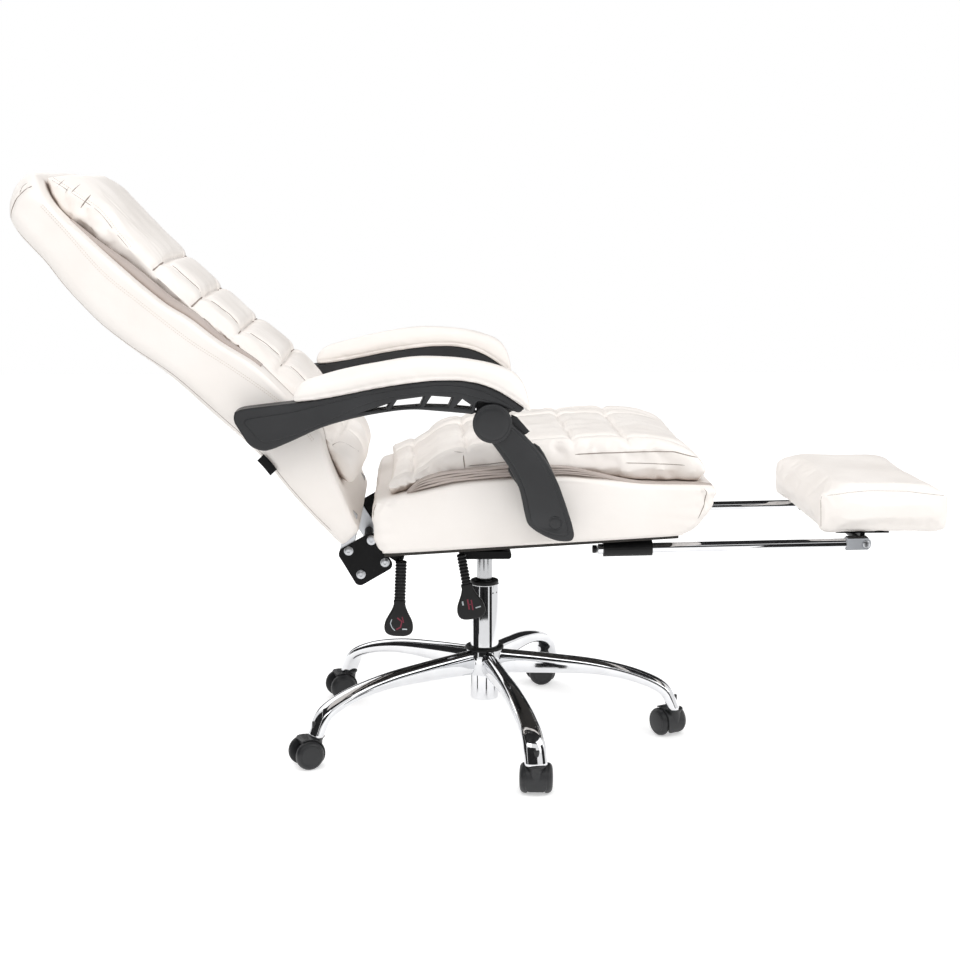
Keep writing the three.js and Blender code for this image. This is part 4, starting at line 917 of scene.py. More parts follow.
def back_cushion():
    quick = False
    lean = 0.0 if quick else 6.0
    swell = 0.0 if quick else SWELL
    foot, top = 78.0, 800.0

    def face_at(y, z):
        share = np.minimum(np.abs(y) / 200, 1)
        return CUSHION_MIDDLE(z) + (CUSHION_SIDE(z) - CUSHION_MIDDLE(z)) * share**3

    def place(u, v, side):
        z = foot + lean * 0.6 + (top - foot - 1.2 * lean) * (1 + v) / 2
        corner = 1 - 0.05 * abs(u * v) ** 8
        half = (float(CUSHION_HALF(z)) - lean * 0.8) * corner
        y = half * u
        seam = float(CUSHION_SEAM(z))
        back = float(SHELL_FRONT(z)) + 1.0
        if side == 0:
            return mm(seam, y, z)
        if side < 0:
            t = min(max((abs(u) - 0.88) / 0.12, (abs(v) - 0.965) / 0.035, 0), 1)
            under = back + (1 + 0.8 * float(BACK_GAP(z))) * min(t / 0.7, 1) ** 2
            return mm(under + (seam - under) * max((t - 0.7) / 0.3, 0) ** 0.7, y, z)
        face = float(face_at(y, z))
        rim = math.sqrt(max(1 - abs(u) ** 9, 0)) * math.sqrt(max(1 - abs(v) ** 26, 0))
        full = math.sqrt(max((1 - abs(u) ** 5) * (1 - abs(v) ** 16), 0))
        return mm(max(seam + max((face - seam) * rim, 0.8) - swell * 0.9 * full, back + 11 * rim), y, z)

    points, faces = padded_grid(spread(76), spread(110), place)
    obj = recalc(mesh_object("back_cushion_cover", points, faces, LEATHER))
    inflate(obj, 6.0, SWELL)
    subdivide(obj)

    def shape(co):
        x, y, z = co.T
        out = co.copy()
        seam = CUSHION_SEAM(z)
        back = SHELL_FRONT(z)
        reach = np.abs(y) - CUSHION_HALF(z)
        u = unit(np.abs(y) / (CUSHION_HALF(z) + 2))
        limit = (face_at(y, z) - back) * np.sqrt(1 - 0.75 * u**12) * 1.17 + 1
        x = np.where(x > back, back + limited(x - back, limit), x)
        # above the shoulders the cushion lies on the shell
        close = unit((z - 620) / 50) * unit((reach + 26) / 14)
        x = np.where(x > back, back + (x - back) * (1 - 0.92 * close * bell(x - back, 19)), x)
        out[:, 0] = x
        face = unit((x - seam) / 8)
        sway = 1.6 * wobble(y * 0.02, y * 0, y * 0 + 3, 15)
        across = np.min([np.abs(z - c - sway) for c in BACK_CHANNELS], axis=0)
        lengthwise = np.abs(np.abs(y) - BACK_BOLSTER)
        inner = np.abs(y) < BACK_BOLSTER + 4
        below = unit((568 - z) / 8)
        sew = np.maximum(
            np.exp(-across / 7.0) * np.where(inner, 1.0, 0.5),
            np.exp(-lengthwise / 6.5) * below * 0.5,
        )
        knot = np.exp(-np.hypot(across, lengthwise) / 8) * below
        roll = np.exp(-np.abs(z - ROLL_SEAM) / 7.0)
        pinch = roll * np.clip((np.abs(y) - 150) / 60, 0.55, 1)
        depth = (BACK_DEPTH * np.maximum(sew, pinch) + BACK_KNOT * knot) * face
        depth = np.minimum(depth, np.clip(x - back - 6, 0, None) * 0.8)
        near = np.exp(-np.minimum(across, lengthwise) / 18)
        pucker = wobble(x * 0.05, y * 0.10, z * 0.05, 17)
        fold = wobble(x * 0.02, y * 0.022, z * 0.018, 19)
        edge = unit((reach + 34) / 30)
        gather = wobble(x * 0.03, y * 0.01, z * 0.12, 21) * unit((z - 640) / 60)
        wave = wobble(x * 0.03, y * 0.02, z * 0.035, 23)
        out[:, 0] += -depth + (1.6 * pucker * near + 1.8 * fold + (2.4 * gather + 1.6 * wave) * edge) * face
        lip = unit((reach + 18) / 16) ** 1.3
        out[:, 0] = np.maximum(out[:, 0], back + 0.6 + BACK_GAP(z) * lip)
        flank = unit((reach + 12) / 10)
        tuck = 7 * roll + 1.4 * gather + 1.2 * wave
        out[:, 1] = held(y, CUSHION_HALF(z) + 6) - np.sign(y) * flank * tuck
        return lean_back(out)

    return move_points(obj, shape)


def back_details(shell, cushion):
    """Painted shade strip in the recess between shell and cushion, the double stitching, and the fine sewn lines and
    creases drawn as painted shade lines.
    """
    for side, sign in SIDES:
        # Painted shade: a darker strip fills the gap between the shell's front and the cushion
        strip = []
        for z in np.linspace(330, 706, 80):
            x = float(SHELL_FRONT(z))
            half = float(CUSHION_HALF(z))
            squeeze = min(1, (z - 322) / 60, (710 - z) / 60)
            wide = half - 12 + 5 * squeeze
            top = x + 1.5 + float(BACK_GAP(z))
            corners = ((x - 5, half - 26), (x - 5, wide), (top, wide), (top, half - 26))
            strip.append([mm(*leaned(a, sign * b, z)) for a, b in corners])
        finish_piece(loft(f"back_recess_shade_strip_{side}", strip, RECESS_SHADE), "back", "leather")
        d = (0, -sign, 0)
        flat = lambda pts: [leaned(x, sign * 266, z) for x, z in pts]
        line = [(12, 747), (11, 692), (8, 609), (17, 532), (30, 440), (47, 363), (61, 288), (64, 240), (58, 190)]
        dense = catmull(line, 12)
        rows = [
            stitches("row", shell, flat([(x + shift, z) for x, z in dense]), d, THREAD, 4.0, 2.7, 0.36)
            for shift in (-1.9, 1.9)
        ]
        sewn(f"shell_stitching_{side}", "back", rows)
        # Painted shade: dark lines along the rear panel's seam and the fold over the top
        rear = [(float(SHELL_REAR(z)) + 7.5 - 4 * min(max((z - 420) / 80, 0), 1), z) for z in np.linspace(60, 755, 90)]
        fold = [(x, float(SHELL_FOLD(x))) for x in np.linspace(-44, 26, 24)]
        sewn(f"shell_seam_shade_{side}", "back", seam_lines(shell, flat, d, SHADE, [
            (rear, 0.6), (fold, 0.9), ([(-4, 786), (10, 792), (22, 790)], 0.6),
        ]))
        # Painted shade: dark lines along the pillow's seam, round the lumbar roll and in the puckers near the top
        pillow = catmull([(42, 776), (49, 752), (57, 716), (61, 688), (58, 648), (55, 611)], 8)
        roll = catmull([(57, 160), (79, 150), (86, 115), (77, 90), (55, 79), (33, 82)], 8)
        sewn(f"pillow_seam_shade_{side}", "back", [
            *seam_lines(cushion, flat, d, SHADE, [(pillow, 0.45), (roll, 0.5)]),
            *seam_lines(cushion, flat, d, SHADE, [
                ([(46, 709.5), (58, 712), (70, 715)], 1.0),
                ([(51, 736), (60, 738), (68, 740)], 0.8),
                ([(46, 743), (55, 747)], 0.6),
                ([(43, 759), (50, 760), (56, 761)], 0.8),
                ([(42, 768), (50, 770)], 0.6),
            ], 0.0),
        ])
        front = (-math.cos(LEAN), 0, -math.sin(LEAN))
        above = lambda pts: [leaned(150, sign * y, z) for y, z in pts]
        # Painted shade: dark strokes in the creases across the bolsters and along the lengthwise seams
        creases = [
            ([(inner, z + 1), (inner + 20, z), (outer, z - 1)], size)
            for z, inner, outer, size in (
                (561, 106, 196, 1.4), (477, 108, 190, 1.3), (394, 110, 160, 1.1), (308, 112, 150, 1.0),
            )
        ]
        edges = [
            ([(BACK_BOLSTER - 5, z - run * k / 6) for k in range(7)], 0.7)
            for z, run in ((555, 70), (470, 68), (387, 70), (301, 66))
        ]
        sewn(f"back_crease_shade_{side}", "back", seam_lines(cushion, above, front, SHADE, [*creases, *edges], 0.1))
        line = catmull([(46, 776), (53, 752), (61, 716), (65, 688), (62, 648), (59, 611)], 8)
        sewn(f"pillow_stitching_{side}", "back", [stitches("row", cushion, flat(line), d, THREAD, 4.4, 2.8, 0.36)])


# ---------------------------------------------------------------- arms and footrest pad

ARM_TOP = [
    (-402, 622), (-399, 626), (-387, 630), (-350, 634.5), (-310, 639), (-284, 642), (-235, 650), (-178, 661), (-121, 670),
    (-84, 673), (-46, 672.5), (-16, 667), (11, 656), (30, 644), (46, 632),
]
ARM_UNDER = [
    (-40, 621.5), (-84, 625.5), (-122, 628), (-159, 625), (-212, 615.5), (-265, 600.5), (-311, 580), (-345, 566),
    (-362, 564.5), (-379, 573), (-392, 592), (-402, 610),
]
ARM_LOWER = [
    (50, 629), (44, 621.5), (36, 622), (22, 627), (8, 632.5), (-6, 637), (-18, 639), (-20, 634), (-16, 622),
    (-22, 619), *ARM_UNDER,
]
ARM_TOP_AT = table([(-402, 622), (-387, 631), *ARM_TOP[4:-1], (50, 629)])
WINDOWS = [
    [(-200, 624.5), (-160, 638), (-166, 628.5)],
    [(-148, 643), (-106, 648.5), (-113, 633), (-157, 629.5)],
    [(-94, 649.5), (-61, 647), (-68, 632), (-105, 633)],
    [(-46, 644.5), (-31, 634), (-33, 628.5), (-58, 631)],
]
PAD_REAR, PAD_FRONT, PAD_MIDDLE = -313.0, 58.0, 293


def arm_pad(name, sign):
    lean = 2.5
    top = table([
        (-313, 664), (-300, 672), (-253, 684), (-177, 701), (-102, 711), (-46, 708), (10, 697), (40, 684), (56, 668),
        (63, 652),
    ])

    def place(u, v, side):
        x = PAD_REAR + lean + (PAD_FRONT + 5 - PAD_REAR - 2 * lean) * (1 + u) / 2
        base = float(ARM_TOP_AT(min(x, 50))) + 1.0
        if x > 50:
            base -= 0.9 * (x - 50)
        end = math.sqrt(max(1 - abs(u) ** 22, 0))
        half = (32 - lean) * (0.80 + 0.20 * math.sqrt(max(1 - abs(u) ** 10, 0)))
        y = half * v
        seam = base + 7
        if side == 0:
            return mm(x, sign * (PAD_MIDDLE + y), seam)
        if side < 0:
            return mm(x, sign * (PAD_MIDDLE + y * 0.95), base)
        height = max(float(top(x)) - lean - seam, 2) * end * math.sqrt(max(1 - abs(v) ** 4.5, 0))
        return mm(x, sign * (PAD_MIDDLE + y), seam + max(height, 1))

    points, faces = padded_grid(spread(70), spread(18), place)
    obj = recalc(mesh_object(name, points, faces, LEATHER))
    inflate(obj, 4.0, 6.0, 14)
    subdivide(obj)

    def shape(co):
        x, y, z = co.T
        out = co.copy()
        base = ARM_TOP_AT(np.minimum(x, 50)) + 0.8 - 0.9 * np.clip(x - 50, 0, None)
        wave = wobble(x * 0.02, y * 0.03, z * 0.03, 25 + sign)
        fine = wobble(x * 0.07, y * 0.05, z * 0.05, 27 + sign)
        above = unit((z - base - 5) / 10)
        ends = np.exp(-np.minimum(x - PAD_REAR, PAD_FRONT - x) / 25)
        out[:, 2] = np.maximum(base, z + above * (1.0 * wave + 0.8 * fine * ends))
        side = y * sign - PAD_MIDDLE
        seam = bell(z - base - 7, 1.7) * unit((np.abs(side) - 20) / 6)
        out[:, 1] = sign * (PAD_MIDDLE + np.clip(side - np.sign(side) * seam * 1.6, -33.5, 33.5))
        return out

    return move_points(obj, shape)


def footrest_pad():
    lean = 3.0
    front, rear, half, low = 776.0, 549.0, 187.0, 399.0
    top = table([(549, 466), (560, 472), (634, 478), (700, 477), (740, 475), (770, 470), (776, 464)])
    rings = []
    for v in (-1, -0.995, -0.985, -0.965, -0.94, *np.linspace(-0.9, 0.9, 46), 0.94, 0.965, 0.985, 0.995, 1):
        size = math.sqrt(max(1 - abs(v) ** 60, 0)) * 0.10 + 0.90
        ring = []
        for i in range(96):
            a = 2 * math.pi * (i + 0.5) / 96
            p = lambda w: math.copysign(abs(w) ** 0.2, w)
            c, n = p(math.cos(a)), p(math.sin(a))
            x = (front + rear) / 2 + ((front - rear) / 2 - lean) * c * (0.96 + 0.04 * size)
            up = float(top(x)) - low
            z = low + up / 2 + (up / 2 - (lean if n > 0 else 0)) * n * (size if n > 0 else 1)
            ring.append(mm(x, (half - lean) * v, z))
        rings.append(ring)
    obj = loft("footrest_cover", rings, LEATHER)
    inflate(obj, 5.0, 6.0, 16)
    subdivide(obj)

    def shape(co):
        x, y, z = co.T
        out = co.copy()
        above = unit((z - 402) / 12)
        wave = wobble(x * 0.016, y * 0.012, z * 0.03, 31)
        corner = np.hypot(np.clip(x - rear, 0, None), np.clip(half - np.abs(y), 0, None))
        near = np.exp(-corner / 20) * unit((z - 440) / 15)
        pucker = np.sin((x * 0.9 + np.abs(y) * 0.5 + z * 0.7) * 0.42)
        out[:, 2] += above * (1.6 * wave + 1.5 * pucker * near)
        out[:, 1] -= np.sign(y) * near * (2.0 + 1.6 * pucker)
        seam = bell(x - rear - 9, 1.8) * unit((np.abs(y) - half + 10) / 8) * above
        out[:, 1] -= np.sign(y) * seam * 2.2
        upper = bell(z - np.array(top(x)) + 8, 1.8) * unit((np.abs(y) - half + 10) / 8)
        out[:, 1] -= np.sign(y) * upper * 1.6
        out[:, 2] = np.clip(out[:, 2], low + 0.2, 483)
        out[:, 1] = np.clip(out[:, 1], -half - 2, half + 2)
        out[:, 0] = np.clip(out[:, 0], rear - 2, front + 5)
        return out

    return move_points(obj, shape)


# ---------------------------------------------------------------- base, casters and column

LEG_TURNS = [math.radians(-5.8 + 72 * k) for k in range(5)]
LEG_REACH = 340.0
LEG_RUN = table([(0, 0.06), (0.25, 0.36), (0.5, 0.62), (0.68, 0.81), (0.83, 0.94), (1, 1)])
LEG_LEVEL = table([(0, 134), (0.25, 130.8), (0.5, 124.3), (0.68, 109.7), (0.83, 88.6), (1, 53)])
LEG_BREADTH = table([(0, 25.5), (0.3, 27.2), (0.7, 34.4), (0.93, 38), (1, 37.6)])
LEG_DEPTH = table([(0, 45), (0.3, 33), (0.6, 24), (1, 21)])


def swung(points, turn, origin=(0, 0, 0)):
    c, s = math.cos(turn), math.sin(turn)
    return [mm(origin[0] + x * c - y * s, origin[1] + x * s + y * c, origin[2] + z) for x, y, z in points]


def leg(turn):
    """Pressed leg: tall and narrow at the hub, broad and flat over its caster."""
    steps, sides = 64, 36
    at = lambda t: np.array([LEG_REACH * float(LEG_RUN(t)), float(LEG_LEVEL(t))])
    rings = []
    for k in range(steps + 1):
        t = k / steps
        here = at(t)
        slope = at(min(t + 0.02, 1)) - at(max(t - 0.02, 0))
        blend = min(max((t - 0.9) / 0.1, 0), 1)
        slope = slope / np.linalg.norm(slope) * (1 - blend) + np.array([0, -1.0]) * blend
        slope /= np.linalg.norm(slope)
        w, h = float(LEG_BREADTH(t)) / 2, float(LEG_DEPTH(t)) / 2
        ring = []
        for i in range(sides):
            a = 2 * math.pi * i / sides
            c, s = math.cos(a), math.sin(a)
            power = 0.82 if s > 0 else 0.66
            rise = math.copysign(abs(s) ** power, s) * h
            y = math.copysign(abs(c) ** 0.82, c) * w
            # a shallow pressed waist along each flank
            y *= 1 - 0.05 * (1 - t) * max(0, 1 - abs(rise / h + 0.15) * 3)
            ring.append((here[0] - slope[1] * rise, y, here[1] + slope[0] * rise))
        rings.append(swung(ring, turn))
    rim = [np.array(p) for p in rings[-1]]
    middle = sum(rim) / len(rim)
    for share, drop in ((0.97, 0.4), (0.9, 0.5)):
        rings.append([tuple(middle + (p - middle) * share - np.array([0, 0, drop * MM])) for p in rim])
    return loft("leg", rings, CHROME)


def star_base():
    hub = [(25.3, 113.6), (26, 113), (31, 113), (32, 114), (32, 156), (31.2, 157), (26, 157), (25.3, 156.4)]
    return join("star_base_chrome", [turned("hub", hub, CHROME, closed=True), *[leg(t) for t in LEG_TURNS]])


# Millimetres: stem to axle, wheel radius, height over the axle where the hood is cut flat, and a wheel's inner face
TRAIL, WHEEL_RADIUS, HOOD_CEILING, WHEEL_INNER = 17, 25.0, 27.4, 13.4
HOOD_TURNS = [math.radians(a) for a in (-60, 10, 20, 25, -94)]
WHEEL = [
    (3.3, 0.3), (22.2, 0.3), (24.0, 0.9), (24.9, 2.4), (25, 4.4), (24.7, 6.6), (23.9, 8.8), (22.5, 10.7),
    (20.6, 12.1), (19.0, 12.9), (18.5, 12.8), (18.1, 12.5), (17.6, 13.1), (14, 13.7), (9, 14.1), (4, 14.3), (0, 14.3),
]


def caster(k):
    stem = (LEG_REACH * math.cos(LEG_TURNS[k]), LEG_REACH * math.sin(LEG_TURNS[k]))
    turn = HOOD_TURNS[k]
    origin = (stem[0] - TRAIL * math.cos(turn), stem[1] - TRAIL * math.sin(turn), WHEEL_RADIUS)
    start, end = math.radians(-38), math.radians(118)
    section = [(-18, 26.4), (-17.4, 25.9), (17.4, 25.9), (18, 26.4), (18, 27.5), (17, 28.3), (-17, 28.3), (-18, 27.5)]
    rings = []
    for i in range(33):
        a = start + (end - start) * i / 32
        tip = min(i / 7, (32 - i) / 3, 1)
        squeeze = 0.66 + 0.34 * math.sqrt(1 - (1 - tip) ** 2)
        ring = [(r * math.cos(a), y * squeeze, min(r * math.sin(a), HOOD_CEILING)) for y, r in section]
        rings.append(swung(ring, turn, origin))
    fender = loft("fender", rings, BLACK)
    web = [(27 * math.cos(a), 27 * math.sin(a)) for a in np.linspace(start, end, 28)]
    web += [(13.7 * math.cos(a), 13.7 * math.sin(a)) for a in np.linspace(end, start + 2 * math.pi, 24)]
    body = plate("web", web, -12.4, 12.4, BLACK, bevel=3.5, segments=4)
    apply_modifiers(body)
    move_points(body, lambda co: np.array(swung([(x, y, min(z, HOOD_CEILING)) for x, y, z in co], turn, origin)) / MM)
    tower = turned(
        "tower", [
            (0, -1), (11.4, -1), (12, 18), (13.4, 23), (15.6, 25.2), (16, 26.4), (15.6, 27.5), (5.4, 27.6), (5.2, 51),
            (4.4, 51.8), (0, 51.8),
        ],
        BLACK, segments=40,
    )
    move_points(tower, lambda co: np.array(swung([(x + TRAIL, y, z) for x, y, z in co], turn, origin)) / MM)
    hood = join(f"caster_hood_cover_{k + 1}", [fender, body, tower])
    hard_piece(hood, f"caster_{k + 1}", "black_plastic", f"caster_hood_{k + 1}")
    for side, sign in SIDES:
        wheel = turned(f"caster_wheel_cover_{k + 1}_{side}", WHEEL, BLACK, axis="Y", segments=56)
        set_off = lambda co: [(x, sign * (WHEEL_INNER + y), z) for x, y, z in co]
        move_points(wheel, lambda co: np.array(swung(set_off(co), turn, origin)) / MM)
        hard_piece(recalc(wheel), f"wheel_{k + 1}_{side}", "black_plastic", f"caster_wheel_{k + 1}_{side}")


def column():
    tube_wall = [
        (5.3, 66.5), (6, 66), (24.2, 66), (25, 66.8), (25, 275.3), (24.6, 276), (23.4, 276), (23, 275.3), (23, 68),
        (5.3, 68),
    ]
    pieces = [("column_tube_chrome", tube_wall, CHROME, "column_tube", "chrome", True, "base")]
    collar = [
        (14.3, 216), (22.7, 216), (22.7, 276.3), (24.8, 276.3), (25, 277), (25, 281), (24.2, 282.4), (22.4, 283),
        (15, 283), (14.3, 282.4),
    ]
    pieces.append(("column_collar_cover", collar, SOFT_BLACK, "column_collar", "soft_black", True, "base"))
    cylinder = [(0, 372), (13.2, 372), (14, 371), (14, 141), (13.4, 140), (5.3, 140), (5.3, 300), (0, 300)]
    pieces.append(("gas_cylinder_chrome", cylinder, GROUND_STEEL, "gas_cylinder", "chrome", False, "seat"))
    cap = [(25.3, 157.3), (34, 157.3), (34.5, 157.8), (34.5, 160.4), (33.6, 161.8), (31.6, 163), (26, 163), (25.3, 162.4)]
    pieces.append(("hub_ring_cover", cap, SOFT_BLACK, "hub_ring", "soft_black", True, "base"))
    for name, profile, material, node, slot, closed, body in pieces:
        piece = turned(name, profile, material, segments=96, closed=closed)
        hard_piece(piece, body, slot, node)
    # A thin bright lip under the collar, and two small punched marks
    lip = [(25.0, 274.6), (25.7, 274.9), (25.8, 275.6), (25.2, 276.0), (25.0, 275.8)]
    hard_piece(turned("column_lip", lip, CHROME, segments=96, closed=True), "base", "chrome")
    marks = []
    for a in (35, 57):
        a0 = math.radians(a - 90)
        rings = []
        for z in (260.6, 260.9, 262.7, 263.0):
            ring = []
            for r, d in ((24.6, -3.4), (24.6, 3.4), (25.12, 3.0), (25.12, -3.0)):
                b = a0 + math.radians(d)
                ring.append(mm(r * math.cos(b), r * math.sin(b), z))
            rings.append(ring)
        marks.append(loft("mark", rings, BLACK_STEEL))
    finish_piece(join("column_marks", marks), "base", "black_steel")


# ---------------------------------------------------------------- arm frames, struts and discs

ARM_OUTER, ARM_MIDDLE, ARM_INNER = 315.0, 293.7, 271.0
ARM_HINGE, DISC, STRUT_FOOT = (-366, 592), (1, 606), (101, 446)
ARM_OUTER_LOWER = [
    (50, 629), (44, 623), (36, 624.5), (22, 630), (10, 633.8), (-6, 637.4), (-20, 640), (-25, 634), (-26, 624.5),
    (-30, 620.5), *ARM_UNDER,
]
ARM_PANEL = [
    (-385, 611.5), (-373, 616), (-311, 625.4), (-241, 642.2), (-159, 657.6), (-96, 665.4), (-57, 665.4), (-18, 658),
    (20, 640), (38, 628.4), (30, 630), (20, 634), (-3, 641), (-34, 650), (-57, 655), (-104, 655.4), (-159, 647.5),
    (-206, 634), (-241, 618), (-280, 601), (-312, 588), (-350, 578.2), (-360, 580), (-370, 588), (-384, 605.5),
]
STRUT_OUTLINE = [
    (24, 615), (34, 602), (53, 585), (80, 554), (103, 515), (123, 460), (131, 431), (130, 420), (124, 415.8),
    (108, 416), (92, 421), (78, 428), (66, 436), (57, 446), (52, 465), (44, 500), (30, 531), (15, 554), (2, 572),
    (-9, 585), (-16, 594),
]
STRUT_PANEL = [
    (20, 607), (34, 596), (58, 573), (79, 545), (98, 509), (114, 466), (122, 434), (119, 426), (106, 425.5),
    (88, 431), (70, 440), (63, 449), (59, 467), (51, 501), (37, 532), (22, 555), (8, 573), (-3, 585),
]


def trace(points, per=5):
    return [tuple(p) for p in catmull(points, per, closed=True)]


def side_plate(sign, name, outline, inner, outer, **form):
    return plate(name, outline, *sorted((sign * inner, sign * outer)), BLACK, **form)


def arm_frame(side, sign):
    outline = trace([*ARM_TOP, *ARM_OUTER_LOWER])
    inside = trace([*ARM_TOP, *ARM_LOWER])
    windows = [trace(w, 1) for w in WINDOWS]
    neck = [(-23, 606), (25, 606), (18, 640), (-23, 640)]
    parts = [
        side_plate(sign, "outer", outline, ARM_MIDDLE - 1, ARM_OUTER, bevel=3.0, holes=windows, segments=4),
        side_plate(sign, "inner", inside, ARM_INNER, ARM_MIDDLE, bevel=2.5, holes=windows, segments=3),
        side_plate(sign, "panel", trace(ARM_PANEL), ARM_OUTER - 2, ARM_OUTER + 1.3, bevel=1.2, segments=3),
        side_plate(sign, "knuckle", circle(DISC, 24.2, 48), ARM_INNER, ARM_MIDDLE - 0.3, bevel=1.5),
        side_plate(sign, "neck", neck, ARM_INNER + 1, ARM_MIDDLE - 0.4, bevel=1.2),
    ]
    for part in parts:
        apply_modifiers(part)
    boss = sideways("boss", [(0, -1), (15, -1), (15, 10.5), (16.5, 13.5), (0, 13.5)], BLACK, ARM_HINGE, 258.4, sign, 40)
    return rounded(join(f"arm_frame_cover_{side}", [*parts, boss]), 0, angle=50)


def arm_strut(side, sign):
    lower = [
        (70, 569), (103, 515), (123, 460), (130, 431), (124, 417), (108, 417), (78, 429), (60, 446), (53, 465),
        (44, 500), (28, 533),
    ]
    tongue = [(32, 617), (41, 613), (61, 590), (56, 586), (50, 583), (30, 598)]
    parts = [
        side_plate(sign, "strut", trace(STRUT_OUTLINE), 294, 313.4, bevel=3.0, segments=4),
        side_plate(sign, "panel", trace(STRUT_PANEL), 306, 315.4, bevel=2.6, segments=5),
        side_plate(sign, "head", circle(DISC, 24, 48), 294, 315, bevel=1.0),
        side_plate(sign, "lower", trace(lower), 277, 294.4, bevel=2.5),
        side_plate(sign, "tongue", tongue, 289.6, 294.4, bevel=1.2),
    ]
    for part in parts:
        apply_modifiers(part)
    parts.append(sideways("boss", [(0, 0), (12, 0), (12, 20), (15, 23), (0, 23)], BLACK, STRUT_FOOT, 255.4, sign, 40))
    cap = [(0, -1), (11.2, -1), (11.2, 0.4), (10.4, 1.3), (9.6, 1.3), (9.2, 0.8), (8.8, 1.1), (5, 1.5), (0, 1.7)]
    parts.append(sideways("cap", cap, BLACK, STRUT_FOOT, 315.2, sign, 48))
    strut = join(f"arm_strut_cover_{side}", parts)

    def hollow(co):
        out = co.copy()
        d = np.hypot((co[:, 0] - 80) / 20, (co[:, 2] - 444) / 11)
        face = unit((np.abs(co[:, 1]) - 312) / 2)
        out[:, 1] -= sign * face * 2.4 * np.exp(-(d**2))
        return out

    move_points(strut, hollow)
    return rounded(strut, 0, angle=50)


def arm_disc(side, sign):
    profile = [
        (0, 0), (30.4, 0), (31, 0.7), (31, 3.6), (30.6, 4.8), (29.4, 5.6), (27.6, 5.9), (26.6, 5.9), (26.1, 5.5),
        (25.6, 5.8), (20, 6.2), (10, 6.5), (0, 6.6),
    ]
    disc = sideways("disc", profile, BLACK, DISC, 315.3, sign, 72)
    pin = sideways("pin", [(0, 0), (4, 0), (4, 42), (0, 42)], BLACK, DISC, 275, sign, 24)
    return rounded(join(f"arm_disc_cover_{side}", [disc, pin]), 0)


# ---------------------------------------------------------------- levers, hinge bolts and footrest fittings


LEVER_TOP = 362


def hanging(points, x, y, lean):
    """From a lever's own axes, hanging from its sleeve's upper end, to the chair's."""
    a = -math.radians(lean)
    c, s = math.cos(a), math.sin(a)
    return np.array([(x + px * c + pz * s, y + py, LEVER_TOP - px * s + pz * c) for px, py, pz in points])


PADDLE_EDGE = [(8.5, 0), (9.6, -8), (12.5, -17), (17.5, -27), (22, -36), (24, -46), (22.5, -54), (18, -59), (10, -61.6)]
PADDLE = [(-8.5, 0), *PADDLE_EDGE, (0, -62), *[(-x, z) for x, z in reversed(PADDLE_EDGE[1:])]]


def dash(path, y, width, material):
    """Flat printed stroke on the paddle's face."""
    points = []
    for i, p in enumerate(path):
        a, b = np.array(path[max(i - 1, 0)], float), np.array(path[min(i + 1, len(path) - 1)], float)
        t = (b - a) / np.linalg.norm(b - a)
        n = np.array([-t[1], t[0]]) * width / 2
        points.append((np.array(p) + n, np.array(p) - n))
    rings = [[(a[0], y, a[1]), (b[0], y, b[1]), (b[0], y + 0.5, b[1]), (a[0], y + 0.5, a[1])] for a, b in points]
    mesh = loft_mesh([[mm(*p) for p in ring] for ring in rings])
    return recalc(mesh_object("stroke", *mesh, material, smooth=False))


def lever(name, x, y, lean, radius, length, marks):
    place = lambda co: hanging(co, x, y, lean)
    pitch = 5.5
    ribs = round(length / pitch)
    profile = [(3.7, -0.3)]
    for i in range(ribs):
        top = -0.3 - i * length / ribs
        for share, out in ((0.06, -1.7), (0.2, -0.5), (0.36, -0.05), (0.5, 0), (0.64, -0.05), (0.8, -0.5), (0.94, -1.7)):
            profile.append((radius + out, top - share * length / ribs))
    profile.append((3.7, -0.3 - length))
    sleeve = turned(f"{name}_sleeve_cover", profile, SOFT_BLACK, segments=40, closed=True)
    move_points(sleeve, place)
    hard_piece(recalc(sleeve), f"{name}_lever", "soft_black", f"{name}_lever_sleeve", angle=60)
    blade = plate(f"{name}_paddle_cover", trace(PADDLE, 4), -5.5, 5.5, SOFT_BLACK, bevel=3.0, segments=5)
    apply_modifiers(blade)

    def waist(co):
        out = co.copy()
        out[:, 1] *= 0.72 + 0.28 * unit(-co[:, 2] / 26)
        dish = unit(1 - np.hypot(co[:, 0] / 19, (co[:, 2] + 44) / 20))
        out[:, 1] *= 1 - 0.12 * dish
        out[:, 2] -= length + 0.6
        return place(out)

    move_points(blade, waist)
    hard_piece(blade, f"{name}_lever", "soft_black", f"{name}_lever_paddle", angle=50)
    for tone, strokes in marks.items():
        material = {"red": RED_PRINT, "pale": PALE_PRINT}[tone]
        parts = [dash([(a, b - length - 0.6) for a, b in stroke], -5.72, width, material) for stroke, width in strokes]
        print_ = join(f"{name}_paddle_{tone}_print", parts)
        move_points(print_, place)
        finish_piece(print_, f"{name}_lever", "soft_black")


def hinge_bolts():
    """Pan-head screws through the hinge plates, and the pivot pins."""
    for side, sign in SIDES:
        heads = []
        for x, z in ((-232, 378), (-212, 338), (-172, 358)):
            profile = [
                (0, -0.6), (7.6, -0.6), (7.6, 0.5), (6.4, 0.9), (6.2, 3.2), (5.2, 4.0), (3.0, 4.2), (2.6, 3.0),
                (0, 2.8),
            ]
            heads.append(sideways("head", profile, STEEL, (x, z), 196.2, sign))
        hard_piece(join(f"hinge_bolts_{side}", heads), "back", "steel")
        pin = [
            (0, -21), (4.7, -21), (4.7, 0), (8.2, 0.2), (8.5, 0.8), (8.4, 2.6), (7.4, 4.0), (5.2, 4.5), (3.0, 4.5),
            (2.6, 3.4), (0, 3.3),
        ]
        pivot = sideways(f"recline_pin_cover_{side}", pin, STEEL, PIVOT, 196.3, sign, 40)
        hard_piece(pivot, "back", "steel", f"recline_pin_{side}")


FOOT_ROD = (633, 382)


